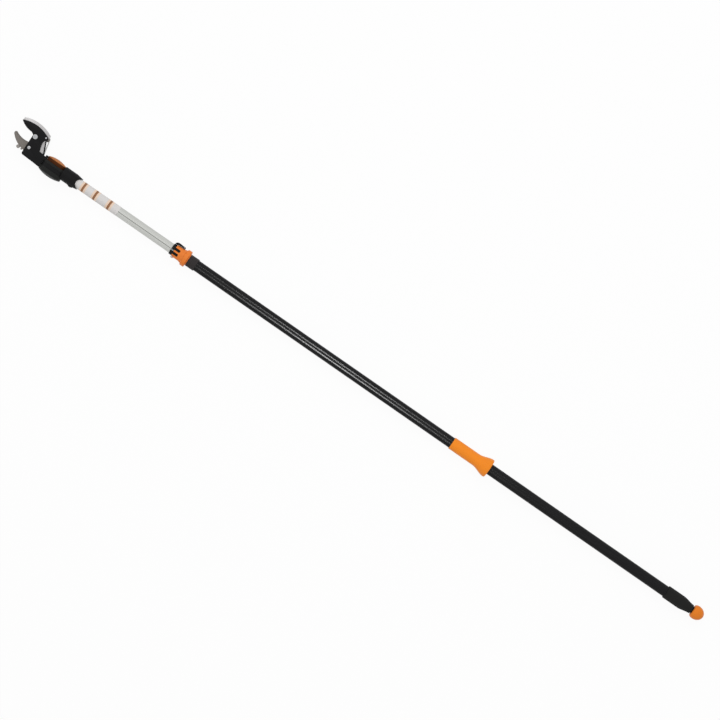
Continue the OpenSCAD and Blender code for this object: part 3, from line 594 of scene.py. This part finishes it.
joined(neck, [cheek, pivot_boss, lower_disc, upper_disc, *webs, lug, tongue], [
    bar(pivot_bore, -30, 0, (*pivot, 0)),
    bar(spring_well_r, cheek_high - spring_well, cheek_high + 1, (*pivot, 0)),
    bar(pivot_bore, -50, 20, (tilt, 0, 0), "Y"),
    bar(bolt_well_r, -50, drum_rim, (tilt, 0, 0), "Y"),
    prism("pocket", head([(-59, -8), (-41, -8), (-41, neck_high + 1), (-66, neck_high + 1)]),
          pocket_low, pocket_high, None),
    bar(pulley_pin_bore, -30, 0, (*guide, 0)),
    *[bar(screw_bore, -30, 0, (*at, 0)) for at in screws],
    bar(cord_lane_r, -50, 0, (tilt, *cord_lane), "X"),
])
seat(neck, "head", "black_plastic", "neck_frame")


# Tilt joint. A plated hexagon bolt through the drum carries a grey cord pulley, and a domed orange
# knob on its end locks the tilt. The knob's dulled orange and its dark brown skirt are painted shade.
coat(bright_steel, "tilt_bolt")
coat(grey_plastic, "tilt_pulley")
knob_low, knob_foot, knob_skirt, knob_dome, knob_r, cap_edge = 5.75, 11.8, 17.6, 6, 29.5, 28.4
# Painted shade: the knob is painted a duller orange than the other mouldings, and its skirt below shade_low
# is painted dark brown for the shade under the dome.
knob_orange, place = start_finish("knob_orange")
up = place.node("ShaderNodeSeparateXYZ", {}, {0: place}, "Y")
shade_low, shade_high = 0.0145, 0.0175
lit = place.node("ShaderNodeMapRange", {"interpolation_type": "SMOOTHSTEP"}, {
    "Value": up, "From Min": shade_low, "From Max": shade_high,
})
flow = place.noise(60, 3)
place.surface({
    "Base Color": lit.tint(
        flow.tint(screen(66, 34, 12), screen(82, 42, 18)),
        flow.tint(screen(177, 109, 60), screen(191, 121, 68)),
    ),
    "Roughness": 0.42 + flow * 0.1,
    "Specular IOR Level": 0.08,
    "Normal": place.noise(1500).relief(0.00003, 0.6),
})
cap_r = (knob_r ** 2 + knob_dome ** 2) / (2 * knob_dome)
cap = [(knob_skirt + knob_dome - cap_r + sqrt(cap_r ** 2 - r * r), r)
       for r in (cap_edge * (1 - f / 20) for f in range(21))]
knob = turned("tilt_cap", [*eased([
    (knob_skirt, 0), (knob_skirt, bolt_bore), (knob_low, bolt_bore), (knob_low, knob_r - 0.5, 0.5),
    (knob_foot, knob_r, 2), (knob_skirt, knob_r, 1.2), cap[0],
])[:-1], *cap], knob_orange, "Y", (tilt, 0, 0))
seat(knob, "tilt_knob", "orange_plastic", "tilt_knob")


# Hook plate and cover. The fixed jaw is a ground steel plate that shows along its back, beyond a
# black moulded cover, and in the cover's window. Both share the neck's outline and are bolted to it.


def jaw(rim, end, tuck=0.0):
    """The outline of hook and neck up to an end, its back widened by a rim and its strip set back."""
    mouth, curve_r, back, back_r = (-110.1, 108.7), 63.2, (-107.8, -28), 97.8 + rim
    tip_x, root_x, heel_x = -149.4, -109.1, -57.4
    strip_foot, strip_top = (-41.4 - tuck, neck_high, 3), (-59 - tuck, 48.5, 2)
    mouth_arc = [(x, mouth[1] - sqrt(curve_r ** 2 - (x - mouth[0]) ** 2))
                 for x in (tip_x + (root_x - tip_x) * k / 24 for k in range(25))]
    back_arc = [(x, back[1] + sqrt(back_r ** 2 - (x - back[0]) ** 2))
                for x in (heel_x + (tip_x - heel_x) * k / 48 for k in range(49))]
    neck_side = eased([
        mouth_arc[-1], (-100.7, 41, 2), (-99.2, -19, 2), (-96, -22.8, 2), (-58.6, -24.3), (end, neck_low),
        (end, neck_high), strip_foot, strip_top, (heel_x, 50.5, 2), (heel_x, 53.2), back_arc[0],
    ])
    return [Vector(p) for p in head([tuple(q) for q in [*mouth_arc[:-1], *neck_side[:-1], *back_arc]])]


rivet_bore = 1.85
rivets = [(-89.5 + tilt, 4, rivet_bore), (-64.5 + tilt, 54, rivet_bore)]
hook_rim, hook_tuck, hook_front, cover_front = 8.4, 1.2, 2, 8
hook_steel = plated("hook_steel", screen(188, 186, 186), 0.38, (120, 700, 700))
hook = prism("ground_hook", jaw(hook_rim, plate_end - 0.5, hook_tuck), hook_rear, hook_front, hook_steel,
             [(*pivot, pivot_bore), *rivets, *[(*at, screw_bore) for at in screws]], 0.35)
seat(hook, "head", "hook_steel", "hook_plate")
cover = prism("moulded_cover", jaw(0, plate_end + 0.75), hook_front, cover_front, black_plastic,
              [(*pivot, pivot_bore), *rivets], 0.9)
cover_window = prism("window", eased(head([
    (-57.9, 11.5, 2), (-45.6, 11.5, 1), (-61.2, 45.9, 1), (-62.6, 47.6, 1), (-66, 40.2, 5), (-64.8, 28.8, 12),
    (-61.3, 19, 8),
])), hook_front - 1, cover_front + 1, None)
joined(cover, cut=[cover_window])
seat(cover, "head", "black_plastic", "head_cover")


# Fasteners of the head: two domed rivets through cover and plate, two pan-head screws put in from
# behind, and the pivot bolt with its nut. All are bright zinc-plated steel.


def new_tree(name, inputs):
    """An empty Geometry Nodes tree with named inputs, and its wires by name."""
    tree = bpy.data.node_groups.new(name, "GeometryNodeTree")
    for label, kind in (("Geometry", "Geometry"), *inputs):
        tree.interface.new_socket(label, in_out="INPUT", socket_type="NodeSocket" + kind)
    tree.interface.new_socket("Geometry", in_out="OUTPUT", socket_type="NodeSocketGeometry")
    labels = ["Geometry", *[label for label, kind in inputs]]
    return tree, {label: Wire(tree).node("NodeGroupInput", out=label) for label in labels}


def grown(name, corners, edges, tree, values, scales=()):
    """A piece that a tree grows on points or edges, in millimetres, turned into a plain mesh."""
    mesh = bpy.data.meshes.new(name)
    mesh.from_pydata([[c * 0.001 for c in p] for p in corners], edges, [])
    if scales:
        scale = mesh.attributes.new("scale", "FLOAT_VECTOR", "POINT")
        scale.data.foreach_set("vector", sum(map(list, scales), []))
    piece = bpy.data.objects.new(name, mesh)
    bpy.context.scene.collection.objects.link(piece)
    step = piece.modifiers.new("grow", "NODES")
    step.node_group = tree
    for item in tree.interface.items_tree:
        if item.in_out == "INPUT" and item.name in values:
            step[item.identifier] = values[item.name]
    bpy.context.view_layer.update()
    piece.data = bpy.data.meshes.new_from_object(piece.evaluated_get(bpy.context.evaluated_depsgraph_get()))
    piece.modifiers.remove(step)
    piece.data.materials.clear()
    piece.data.materials.append(values["Finish"])
    soften(piece.data)
    return piece


fastener_tree, wire = new_tree("fasteners", [("Fastener", "Object"), ("Finish", "Material")])
one = wire["Fastener"].node("GeometryNodeObjectInfo", {}, {"Object": wire["Fastener"]}, "Geometry")
size = one.node("GeometryNodeInputNamedAttribute", {"data_type": "FLOAT_VECTOR"}, {"Name": "scale"})
spread = one.node("GeometryNodeInstanceOnPoints", {}, {
    "Points": wire["Geometry"], "Instance": one, "Scale": size,
})
whole = spread.node("GeometryNodeRealizeInstances", {}, {"Geometry": spread})
dressed = whole.node("GeometryNodeSetMaterial", {}, {"Geometry": whole, "Material": wire["Finish"]})
dressed.node("NodeGroupOutput", {}, {"Geometry": dressed})

rivet_head_r, small_head_r, rivet_head_h, shank_r, stack_h = 4.9, 2.9, 2, 1.8, 10
one_rivet = turned("one_rivet", [
    (-stack_h, 0), (-stack_h, shank_r), (0, shank_r), (0, rivet_head_r - 0.2), (0.25, rivet_head_r),
    *[(rivet_head_h * sin(a), rivet_head_r * cos(a)) for a in (pi / 2 * k / 10 for k in range(2, 10))],
    (rivet_head_h, 0),
], None, "Z")
small = small_head_r / rivet_head_r
rivet_pieces = grown("domed_rivets", [(x, y, cover_front) for x, y, r in rivets], [], fastener_tree,
                     {"Fastener": one_rivet, "Finish": bright_steel}, [(1, 1, 1), (small, small, 1)])
bpy.data.objects.remove(one_rivet)
seat(rivet_pieces, "head", "bright_steel", "cover_rivets")

screw_head_r, screw_head_h, screw_r, screw_len, cross, cross_half = 4, 2, 2, 21.8, 2.4, 0.5
one_screw = turned("one_screw", eased([
    (-screw_head_h, 0), (-screw_head_h, screw_head_r, 0.9), (0, screw_head_r, 0.2), (0, screw_r),
    (screw_len, screw_r, 0.4), (screw_len, 0),
]), None, "Z")
joined(one_screw, cut=[
    block((-a, -b, -4), (a, b, -1)) for a, b in ((cross, cross_half), (cross_half, cross))
])
screw_pieces = grown("pan_screws", [(*at, neck_rear) for at in screws], [], fastener_tree,
                     {"Fastener": one_screw, "Finish": bright_steel}, [(1, 1, 1), (1, 1, 1)])
bpy.data.objects.remove(one_screw)
seat(screw_pieces, "head", "bright_steel", "neck_screws")

bolt_r, bolt_head_r, bolt_low, bolt_top, hex_r, hex_depth = 4, 7.15, -17.5, 11.4, 3.57, 1.7
bolt = turned("pivot_screw", eased([
    (bolt_low, 0), (bolt_low, bolt_r, 0.6), (cover_front, bolt_r), (cover_front, bolt_head_r, 0.4),
    (bolt_top, bolt_head_r, 1.4), (bolt_top, 0),
]), bright_steel, "Z", (*pivot, 0))
hexagon = [(pivot[0] + hex_r * cos(pi * k / 3), pivot[1] + hex_r * sin(pi * k / 3)) for k in range(6)]
joined(bolt, cut=[prism("hexagon", hexagon, bolt_top - hex_depth, bolt_top + 1, None)])
seat(bolt, "head", "bright_steel", "pivot_bolt")
coat(bright_steel, "pivot_nut", "guide_pin")


# Blade. The moving jaw, stamped from steel plate and ground to a dull warm grey. Its cutting edge
# is ground from the front, and its tail behind the pivot carries the cord's pulley.
blade_low, blade_high = -6.2, -2.3
edge_mid, edge_r, back_mid, back_r = Vector((-115.5, 77)), 61.3, Vector((-94.6, 63.2)), 74.2
tip, tip_r = Vector((-146.28, 17.9)), 5.4


def arc(mid, radius, start, end, steps):
    """Points on an arc between two angles in degrees."""
    return [mid + Vector((cos(a), sin(a))) * radius
            for a in (radians(start + (end - start) * k / steps) for k in range(steps + 1))]


def heading(mid, point):
    """The angle in degrees from a middle to a point."""
    return atan2(point[1] - mid[1], point[0] - mid[0]) * 180 / pi


root_corner, heel_corner = Vector((-100.4, 17.5)), Vector((-98, -10.9))
cut_arc = arc(edge_mid, edge_r, heading(edge_mid, root_corner), heading(edge_mid, tip), 40)
back_arc = arc(back_mid, back_r, heading(back_mid, tip), heading(back_mid, heel_corner), 40)
tip_arc = arc(tip, tip_r, heading(tip, edge_mid), heading(tip, edge_mid) + 160, 12)
tail_mid = Vector((tail[0] - tilt, tail[1]))
root = [Vector(p) for p in ((-86, -9), (-80.5, 6), (-78.5, 26), (-74, 37), (-60, 46.7))]
crown = [Vector(p) for p in ((-66, 58.4), (-84, 50), (-98.5, 36), (-98.2, 27))]
tail_r = 6.7
tail_arc = arc(tail_mid, tail_r, -72, 125, 14)
ring = [*back_arc, *root, *tail_arc, *crown, *cut_arc, *tip_arc[1:-1]]
blunt, edge_grind, tip_grind = 0.35, 4.2, 2.2
grind = [blunt] * (len(ring) - len(cut_arc) - len(tip_arc) + 2)
grind += [blunt + edge_grind * min(1, k / 8) for k in range(len(cut_arc))]
grind += [blunt + tip_grind * (1 - k / len(tip_arc)) for k in range(len(tip_arc) - 2)]
stud, nub = (-119.5 + tilt, -10.6), (-107.8 + tilt, -11.6)
blade_steel, place = start_finish("blade_steel")
mill = place.stretch((60, 500, 500)).noise(1, 3)
cloud = place.noise(45, 3)
place.surface({
    "Base Color": (mill * 0.5 + cloud * 0.5).tint(screen(106, 101, 96), screen(132, 126, 120)),
    "Metallic": 0.35,
    "Roughness": 0.42 + cloud * 0.14,
    "Specular IOR Level": 0.35,
    "Normal": mill.relief(0.00004, 0.5),
})
stud_eye_r, stud_bore, nub_r = 5.1, 2.55, 2.4
blade = prism("stamped_blade", [Vector(p) for p in head([tuple(p) for p in ring])], blade_low, blade_high,
              blade_steel, [(*pivot, bolt_bore), (*tail, pulley_pin_bore)], front=grind)
stud_eye, nub_bump = [bar(r, blade_low, blade_high, (*at, 0)) for r, at in ((stud_eye_r, stud), (nub_r, nub))]
joined(blade, [stud_eye, nub_bump], [bar(stud_bore, -10, 0, (*stud, 0))])
seat(blade, "blade", "blade_steel", "blade")
stud_steel = plated("stud_steel", screen(150, 146, 142), 0.4, (300, 300, 300))
coat(stud_steel, "blade_stud")
coat(bright_steel, "tail_pin")


# Opening spring. A flat coil of spring wire round the pivot, sunk in the rear cheek behind the
# blade. The tree winds it from its sizes.
coil_tree, wire = new_tree("coil", [
    ("Turns", "Float"), ("Inside", "Float"), ("Rise", "Float"), ("Wire", "Float"), ("Finish", "Material"),
])
path = wire["Turns"].node("GeometryNodeCurveSpiral", {}, {
    "Resolution": 36, "Rotations": wire["Turns"], "Height": wire["Rise"],
    "Start Radius": wire["Inside"], "End Radius": wire["Inside"],
})
round_wire = path.node("GeometryNodeCurvePrimitiveCircle", {}, {"Resolution": 10, "Radius": wire["Wire"]})
coil = path.node("GeometryNodeCurveToMesh", {}, {
    "Curve": path, "Profile Curve": round_wire, "Fill Caps": True,
})
spot = coil.node("GeometryNodeInstanceOnPoints", {}, {"Points": wire["Geometry"], "Instance": coil})
whole = spot.node("GeometryNodeRealizeInstances", {}, {"Geometry": spot})
dressed = whole.node("GeometryNodeSetMaterial", {}, {"Geometry": whole, "Material": wire["Finish"]})
dressed.node("NodeGroupOutput", {}, {"Geometry": dressed})
spring_low = -9
spring = grown("opening_spring", [(*pivot, spring_low)], [], coil_tree,
               {"Turns": 2.0, "Inside": 0.006, "Rise": 0.0018, "Wire": 0.00055, "Finish": bright_steel})
seat(spring, "head", "bright_steel", "return_spring")


# Cord tackle. A pale laid cord runs between two grey double pulleys, one on the blade's tail and
# one in the neck, so that a pull on the grip closes the blade with four falls.


def sheave(name, at):
    """A double pulley with rounded flanges, turning about Z."""
    groove, rim, bore, low, thick, wide = 4.2, 7, 2.56, -16.8, 10, 3.2
    land = (thick - 2 * wide) / 3
    first, second = low + land, low + 2 * land + wide
    return turned(name, eased([
        (low, bore), (low, rim, 0.4), (first, rim, 0.4), (first, groove, 1.4), (first + wide, groove, 1.4),
        (first + wide, rim, 0.4), (second, rim, 0.4), (second, groove, 1.4), (second + wide, groove, 1.4),
        (second + wide, rim, 0.4), (low + thick, rim, 0.4), (low + thick, bore),
    ]), grey_plastic, "Z", (*at, 0), 64)


seat(sheave("tail_sheave", tail), "tail_pulley", "grey_plastic", "tail_pulley")
seat(sheave("guide_sheave", guide), "guide_pulley", "grey_plastic", "guide_pulley")

cord_fibre, place = start_finish("cord_fibre")
run = place.node("ShaderNodeAttribute", {"attribute_name": "run"}, out="Fac")
turn = place.node("ShaderNodeAttribute", {"attribute_name": "turn"}, out="Fac")
yarn = place.sum("SINE", run * 5200 + turn * 37.7, 0) * 0.5 + 0.5
place.surface({
    "Base Color": (yarn * 0.7 + place.noise(900) * 0.3).tint(screen(178, 178, 177), screen(228, 228, 225)),
    "Roughness": 0.8,
    "Specular IOR Level": 0.2,
    "Normal": yarn.relief(0.00012, 0.7),
})

cord_tree, wire = new_tree("laid_cord", [
    ("Radius", "Float"), ("Lay", "Float"), ("Step", "Float"), ("Sides", "Int"), ("Finish", "Material"),
])
line = wire["Geometry"].node("GeometryNodeMeshToCurve", {}, {"Mesh": wire["Geometry"]})
line = line.node("GeometryNodeResampleCurve", {"mode": "LENGTH"}, {"Curve": line, "Length": wire["Step"]})
length = line.node("GeometryNodeSplineParameter", out="Length")
line = line.node("GeometryNodeStoreNamedAttribute", {"data_type": "FLOAT", "domain": "POINT"},
                 {"Geometry": line, "Name": "run", "Value": length})
line = line.node("GeometryNodeSetCurveTilt", {}, {"Curve": line, "Tilt": length / wire["Lay"] * (2 * pi)})
ringed = line.node("GeometryNodeCurvePrimitiveCircle", {}, {
    "Resolution": wire["Sides"], "Radius": wire["Radius"],
})
share = ringed.node("GeometryNodeSplineParameter", out="Factor")
spot = ringed.node("GeometryNodeInputPosition")
lobed = spot.node("ShaderNodeVectorMath", {"operation": "SCALE"}, {
    0: spot, "Scale": 0.9 + 0.1 * share.sum("COSINE", share * (6 * pi), 0),
})
ringed = ringed.node("GeometryNodeSetPosition", {}, {"Geometry": ringed, "Position": lobed})
ringed = ringed.node("GeometryNodeStoreNamedAttribute", {"data_type": "FLOAT", "domain": "POINT"},
                     {"Geometry": ringed, "Name": "turn", "Value": share})
rope = line.node("GeometryNodeCurveToMesh", {}, {"Curve": line, "Profile Curve": ringed, "Fill Caps": True})
rope = rope.node("GeometryNodeRealizeInstances", {}, {"Geometry": rope})
rope = rope.node("GeometryNodeSetMaterial", {}, {"Geometry": rope, "Material": wire["Finish"]})
rope.node("NodeGroupOutput", {}, {"Geometry": rope})


def cord(name, paths, lay, step, sides, radius=0.0015):
    """A laid cord along one or more paths in millimetres. Its lay, step and radius are in metres."""
    corners, edges = [], []
    for points in paths:
        edges += [(len(corners) + k, len(corners) + k + 1) for k in range(len(points) - 1)]
        corners += points
    return grown(name, corners, edges, cord_tree, {
        "Radius": radius, "Lay": lay, "Step": step, "Sides": sides, "Finish": cord_fibre,
    })


loop_r, cord_levels = 5.9, (-14.0, -9.6)
fall = Vector(guide) - Vector(tail)
side = Vector((-fall.y, fall.x)).normalized() * loop_r
straight = [
    [(*(Vector(tail) + side * way), z), (*(Vector(guide) + side * way), z)]
    for z in cord_levels for way in (-1, 1)
]
falls = cord("cord_strands", straight, lay=0.009, step=0.0008, sides=15)
seat(falls, "head", "cord_fibre", "cord_falls")
# The share of the falls' length left as the blade shuts, along the way that its tail takes. It is reckoned
# here and not applied.
blade_swing = radians(58)
tail_shut = Vector(pivot) + Matrix.Rotation(-blade_swing, 2) @ (Vector(tail) - Vector(pivot))
shrink = Vector(tail) - tail_shut
falls_keep = 1 - shrink.length / -fall.dot(shrink.normalized())
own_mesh(falls)
fall_turn = heading((0, 0), fall)
half_turn = arc(Vector(tail), loop_r, fall_turn + 90, fall_turn + 350, 48)
loops = [[(*p, z) for p in half_turn] for z in cord_levels]
bight = cord("cord_bights", loops, lay=0.009, step=0.0008, sides=15)
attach(bight, "blade")


# Sliding grip. A smooth orange sleeve with a flare at its lower end, which slides on the outer
# tube. A key through the slots of both tubes joins it to a carrier, which pulls the cord.
grip_orange = moulded("grip_orange", screen(252, 145, 37), screen(252, 180, 104), 0.36, 0.18, 0.00003)
grip_top, grip_len, grip_r, flare_r, flare_len, flare_lip, grip_bore = 444.5, 130, 18.6, 28.6, 46, 4, 16.6
swell = [
    (grip_len - flare_len + (flare_len - flare_lip) * f, grip_r + (flare_r - grip_r) * f * f * (3 - 2 * f))
    for f in (k / 24 for k in range(25))
]
grip = turned("grip_sleeve", [(grip_top + a, r) for a, r in [
    *eased([(grip_len, grip_bore, 0.4), (0, grip_bore, 0.4), (0, grip_r, 1.4), swell[0]])[:-1], *swell[:-1],
    *eased([swell[-2], (*swell[-1], 1.5), (grip_len, flare_r - 1.2, 1.5), (grip_len, grip_bore)])[1:-1],
]], grip_orange)
key_x, key_bore, key_reach = 486.5, 3.05, -17.5
joined(grip, cut=[bar(key_bore, key_reach, 0, (key_x, 0, 0))])
seat(grip, "grip", "orange_plastic", "slide_grip")
coat(grey_plastic, "grip_carrier", "end_plug")
coat(bright_steel, "grip_key")
pull_start, pull_end = -884, 480.5
pull = cord("pull_line", [[(pull_end, 0, 0), (pull_start, 0, 0)]], lay=0.012, step=0.002, sides=12)
seat(pull, "grip", "cord_fibre", "pull_cord")


# End grip. A soft black rubber handle drawn over the tube's lower end, with a fine stipple. A
# plain ring seats the knob.
black_rubber, place = start_finish("black_rubber")
stipple = place.node("ShaderNodeTexVoronoi", {}, {"Vector": place, "Scale": 800.0}, "Distance")
worn = place.noise(35, 3)
place.surface({
    "Base Color": worn.tint(screen(24, 24, 23), screen(34, 34, 33)),
    "Roughness": 0.62 + worn * 0.14,
    "Specular IOR Level": 0.14,
    "Normal": stipple.relief(0.00012, 0.5),
})
hand_top, hand_len, hand_r, nose_r, taper_len, seat_depth, cord_hole = 1190, 88, 19.4, 13.7, 37, 56, 2.1
taper = [
    (hand_len - taper_len * (1 - f), hand_r + (nose_r - hand_r) * f * f * (3 - 2 * f))
    for f in (k / 20 for k in range(21))
]
hand = turned("hand_grip", [(hand_top + a, r) for a, r in [
    *eased([(seat_depth, tube_seat), (0, tube_seat, 0.4), (0, hand_r, 1.4), taper[0]])[:-1], *taper[:-1],
    *eased([taper[-2], (*taper[-1], 0.8), (hand_len, cord_hole, 0.4), (seat_depth, cord_hole)])[1:],
]], black_rubber)
seat(hand, "handle", "black_rubber", "end_grip")
coat(black_plastic, "knob_seat")


# End knob. A smooth moulded orange egg on a cord that runs up inside the pole, for pulling from
# the end.
orange_plastic = moulded("orange_plastic", screen(238, 132, 38), screen(246, 168, 100), 0.4, 0.18, 0.00003)
egg_top, egg_len, egg_r, egg_belly, egg_face, egg_bore = 1282.3, 35.8, 20.6, 11.5, 15, 1.55
egg = turned("egg_knob", [(egg_top + a, r) for a, r in [
    (egg_belly, 0), (egg_belly, egg_bore), (0, egg_bore),
    *[(egg_belly * (1 - cos(a)), egg_face + (egg_r - egg_face) * sin(a))
      for a in (pi / 2 * k / 16 for k in range(17))],
    *[(egg_belly + (egg_len - egg_belly) * sin(a), egg_r * cos(a))
      for a in (pi / 2 * k / 24 for k in range(1, 24))],
    (egg_len, 0),
]], orange_plastic)
seat(egg, "end_knob", "orange_plastic", "end_knob")
line_up = 430
knob_line = cord("knob_line", [[(egg_top + egg_belly, 0, 0), (egg_top - line_up, 0, 0)]],
                 lay=0.012, step=0.002, sides=12)
seat(knob_line, "end_knob", "cord_fibre", "knob_cord")


# Studio. A pale floor under the pole, a white world and a broad soft lamp. Strip lamps beside the
# pole draw the two fine lines on the black tube, and a side lamp shows in the bright steel. The
# camera looks straight down.
floor_mesh = bpy.data.meshes.new("floor")
half, ground = 60, cad_box[0].z - 0.0005
floor_mesh.from_pydata(
    [(half * x, half * y, ground) for x, y in ((-1, -1), (1, -1), (1, 1), (-1, 1))], [], [(0, 1, 2, 3)],
)
floor = bpy.data.objects.new("floor", floor_mesh)
bpy.context.scene.collection.objects.link(floor)


def seen(wire):
    """1 for rays that the viewer sees: straight, or by way of a shiny or clear surface."""
    rays = ("Is Camera Ray", "Is Glossy Ray", "Is Transmission Ray")
    straight, shiny, clear = [wire.node("ShaderNodeLightPath", out=ray) for ray in rays]
    return straight.sum("MINIMUM", straight + shiny + clear, 1)


floor_finish, place = start_finish("floor_white")
matt = place.node("ShaderNodeBsdfDiffuse", {}, {"Color": (0.86, 0.86, 0.86, 1)})
glow = place.node("ShaderNodeEmission", {}, {"Color": (1, 1, 1, 1), "Strength": 1.0})
glow_share = 0.94
mixed = place.node("ShaderNodeMixShader", {}, {0: seen(place) * glow_share, 1: matt, 2: glow})
place.node("ShaderNodeOutputMaterial", {}, {"Surface": mixed})
floor_mesh.materials.append(floor_finish)

world = bpy.data.worlds.new("studio")
bpy.context.scene.world = world
world.use_nodes = True
world.node_tree.nodes.clear()
sky = Wire(world.node_tree)
ambient = 0.6
light = sky.node("ShaderNodeBackground", {}, {
    "Color": (1, 1, 1, 1), "Strength": ambient + seen(sky) * (1 - ambient),
})
sky.node("ShaderNodeOutputWorld", {}, {"Surface": light})


def lamp(name, at, towards, size, power, gloss=False, only=None):
    """A rectangular lamp that faces a point. A gloss lamp shows only as a highlight, on all or one piece."""
    data = bpy.data.lights.new(name, "AREA")
    data.shape, data.size, data.size_y, data.energy = "RECTANGLE", size[0], size[1], power
    made = bpy.data.objects.new(name, data)
    back = (Vector(at) - Vector(towards)).normalized()
    across = Vector((0, 1, 0)).cross(back).normalized()
    facing = Matrix((across, back.cross(across), back)).transposed().to_4x4()
    made.matrix_world = Matrix.Translation(at) @ facing
    made.visible_camera = False
    made.visible_glossy, made.visible_diffuse = gloss, not gloss
    if only:
        made.light_linking.receiver_collection = bpy.data.collections.new(name)
        made.light_linking.receiver_collection.objects.link(only)
    bpy.context.scene.collection.objects.link(made)


lamp("soft_top", at=(-0.4, 1.4, 4.0), towards=(0, 0, 0), size=(3.0, 3.0), power=76)
strip_height, strip_width, strip_turn = 1.6, 0.03, radians(30.5)
strips = (("long", 0.0, 1.0, 23, 18), ("short", 0.03, 0.35, 104, 58))
for name, middle, length, low_power, high_power in strips:
    for way, power in ((-1, low_power), (1, high_power)):
        at = (middle, way * strip_height * tan(strip_turn), strip_height)
        lamp(f"strip_{name}", at, (middle, 0, 0), (length, strip_width), power, gloss=True,
             only=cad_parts["outer_tube"])
lamp("soft_side", at=(-2.4, 1.2, 2.4), towards=(-0.9, 0, 0), size=(1.2, 1.2), power=7, gloss=True)

pole_slope, sensor = radians(34.78), 36
view_centre, view_width, view_away = Vector((0.0935, 0.045, 0)), 2.059, 6.0
camera_data = bpy.data.cameras.new("camera")
camera_data.sensor_width = sensor
camera_data.lens = sensor * view_away / view_width
camera = bpy.data.objects.new("camera", camera_data)
camera_place = Matrix.Translation(view_centre + Vector((0, 0, view_away)))
camera.matrix_world = camera_place @ Matrix.Rotation(pole_slope, 4, "Z")
bpy.context.scene.collection.objects.link(camera)
bpy.context.scene.camera = camera
bpy.context.scene.view_settings.view_transform = "Standard"
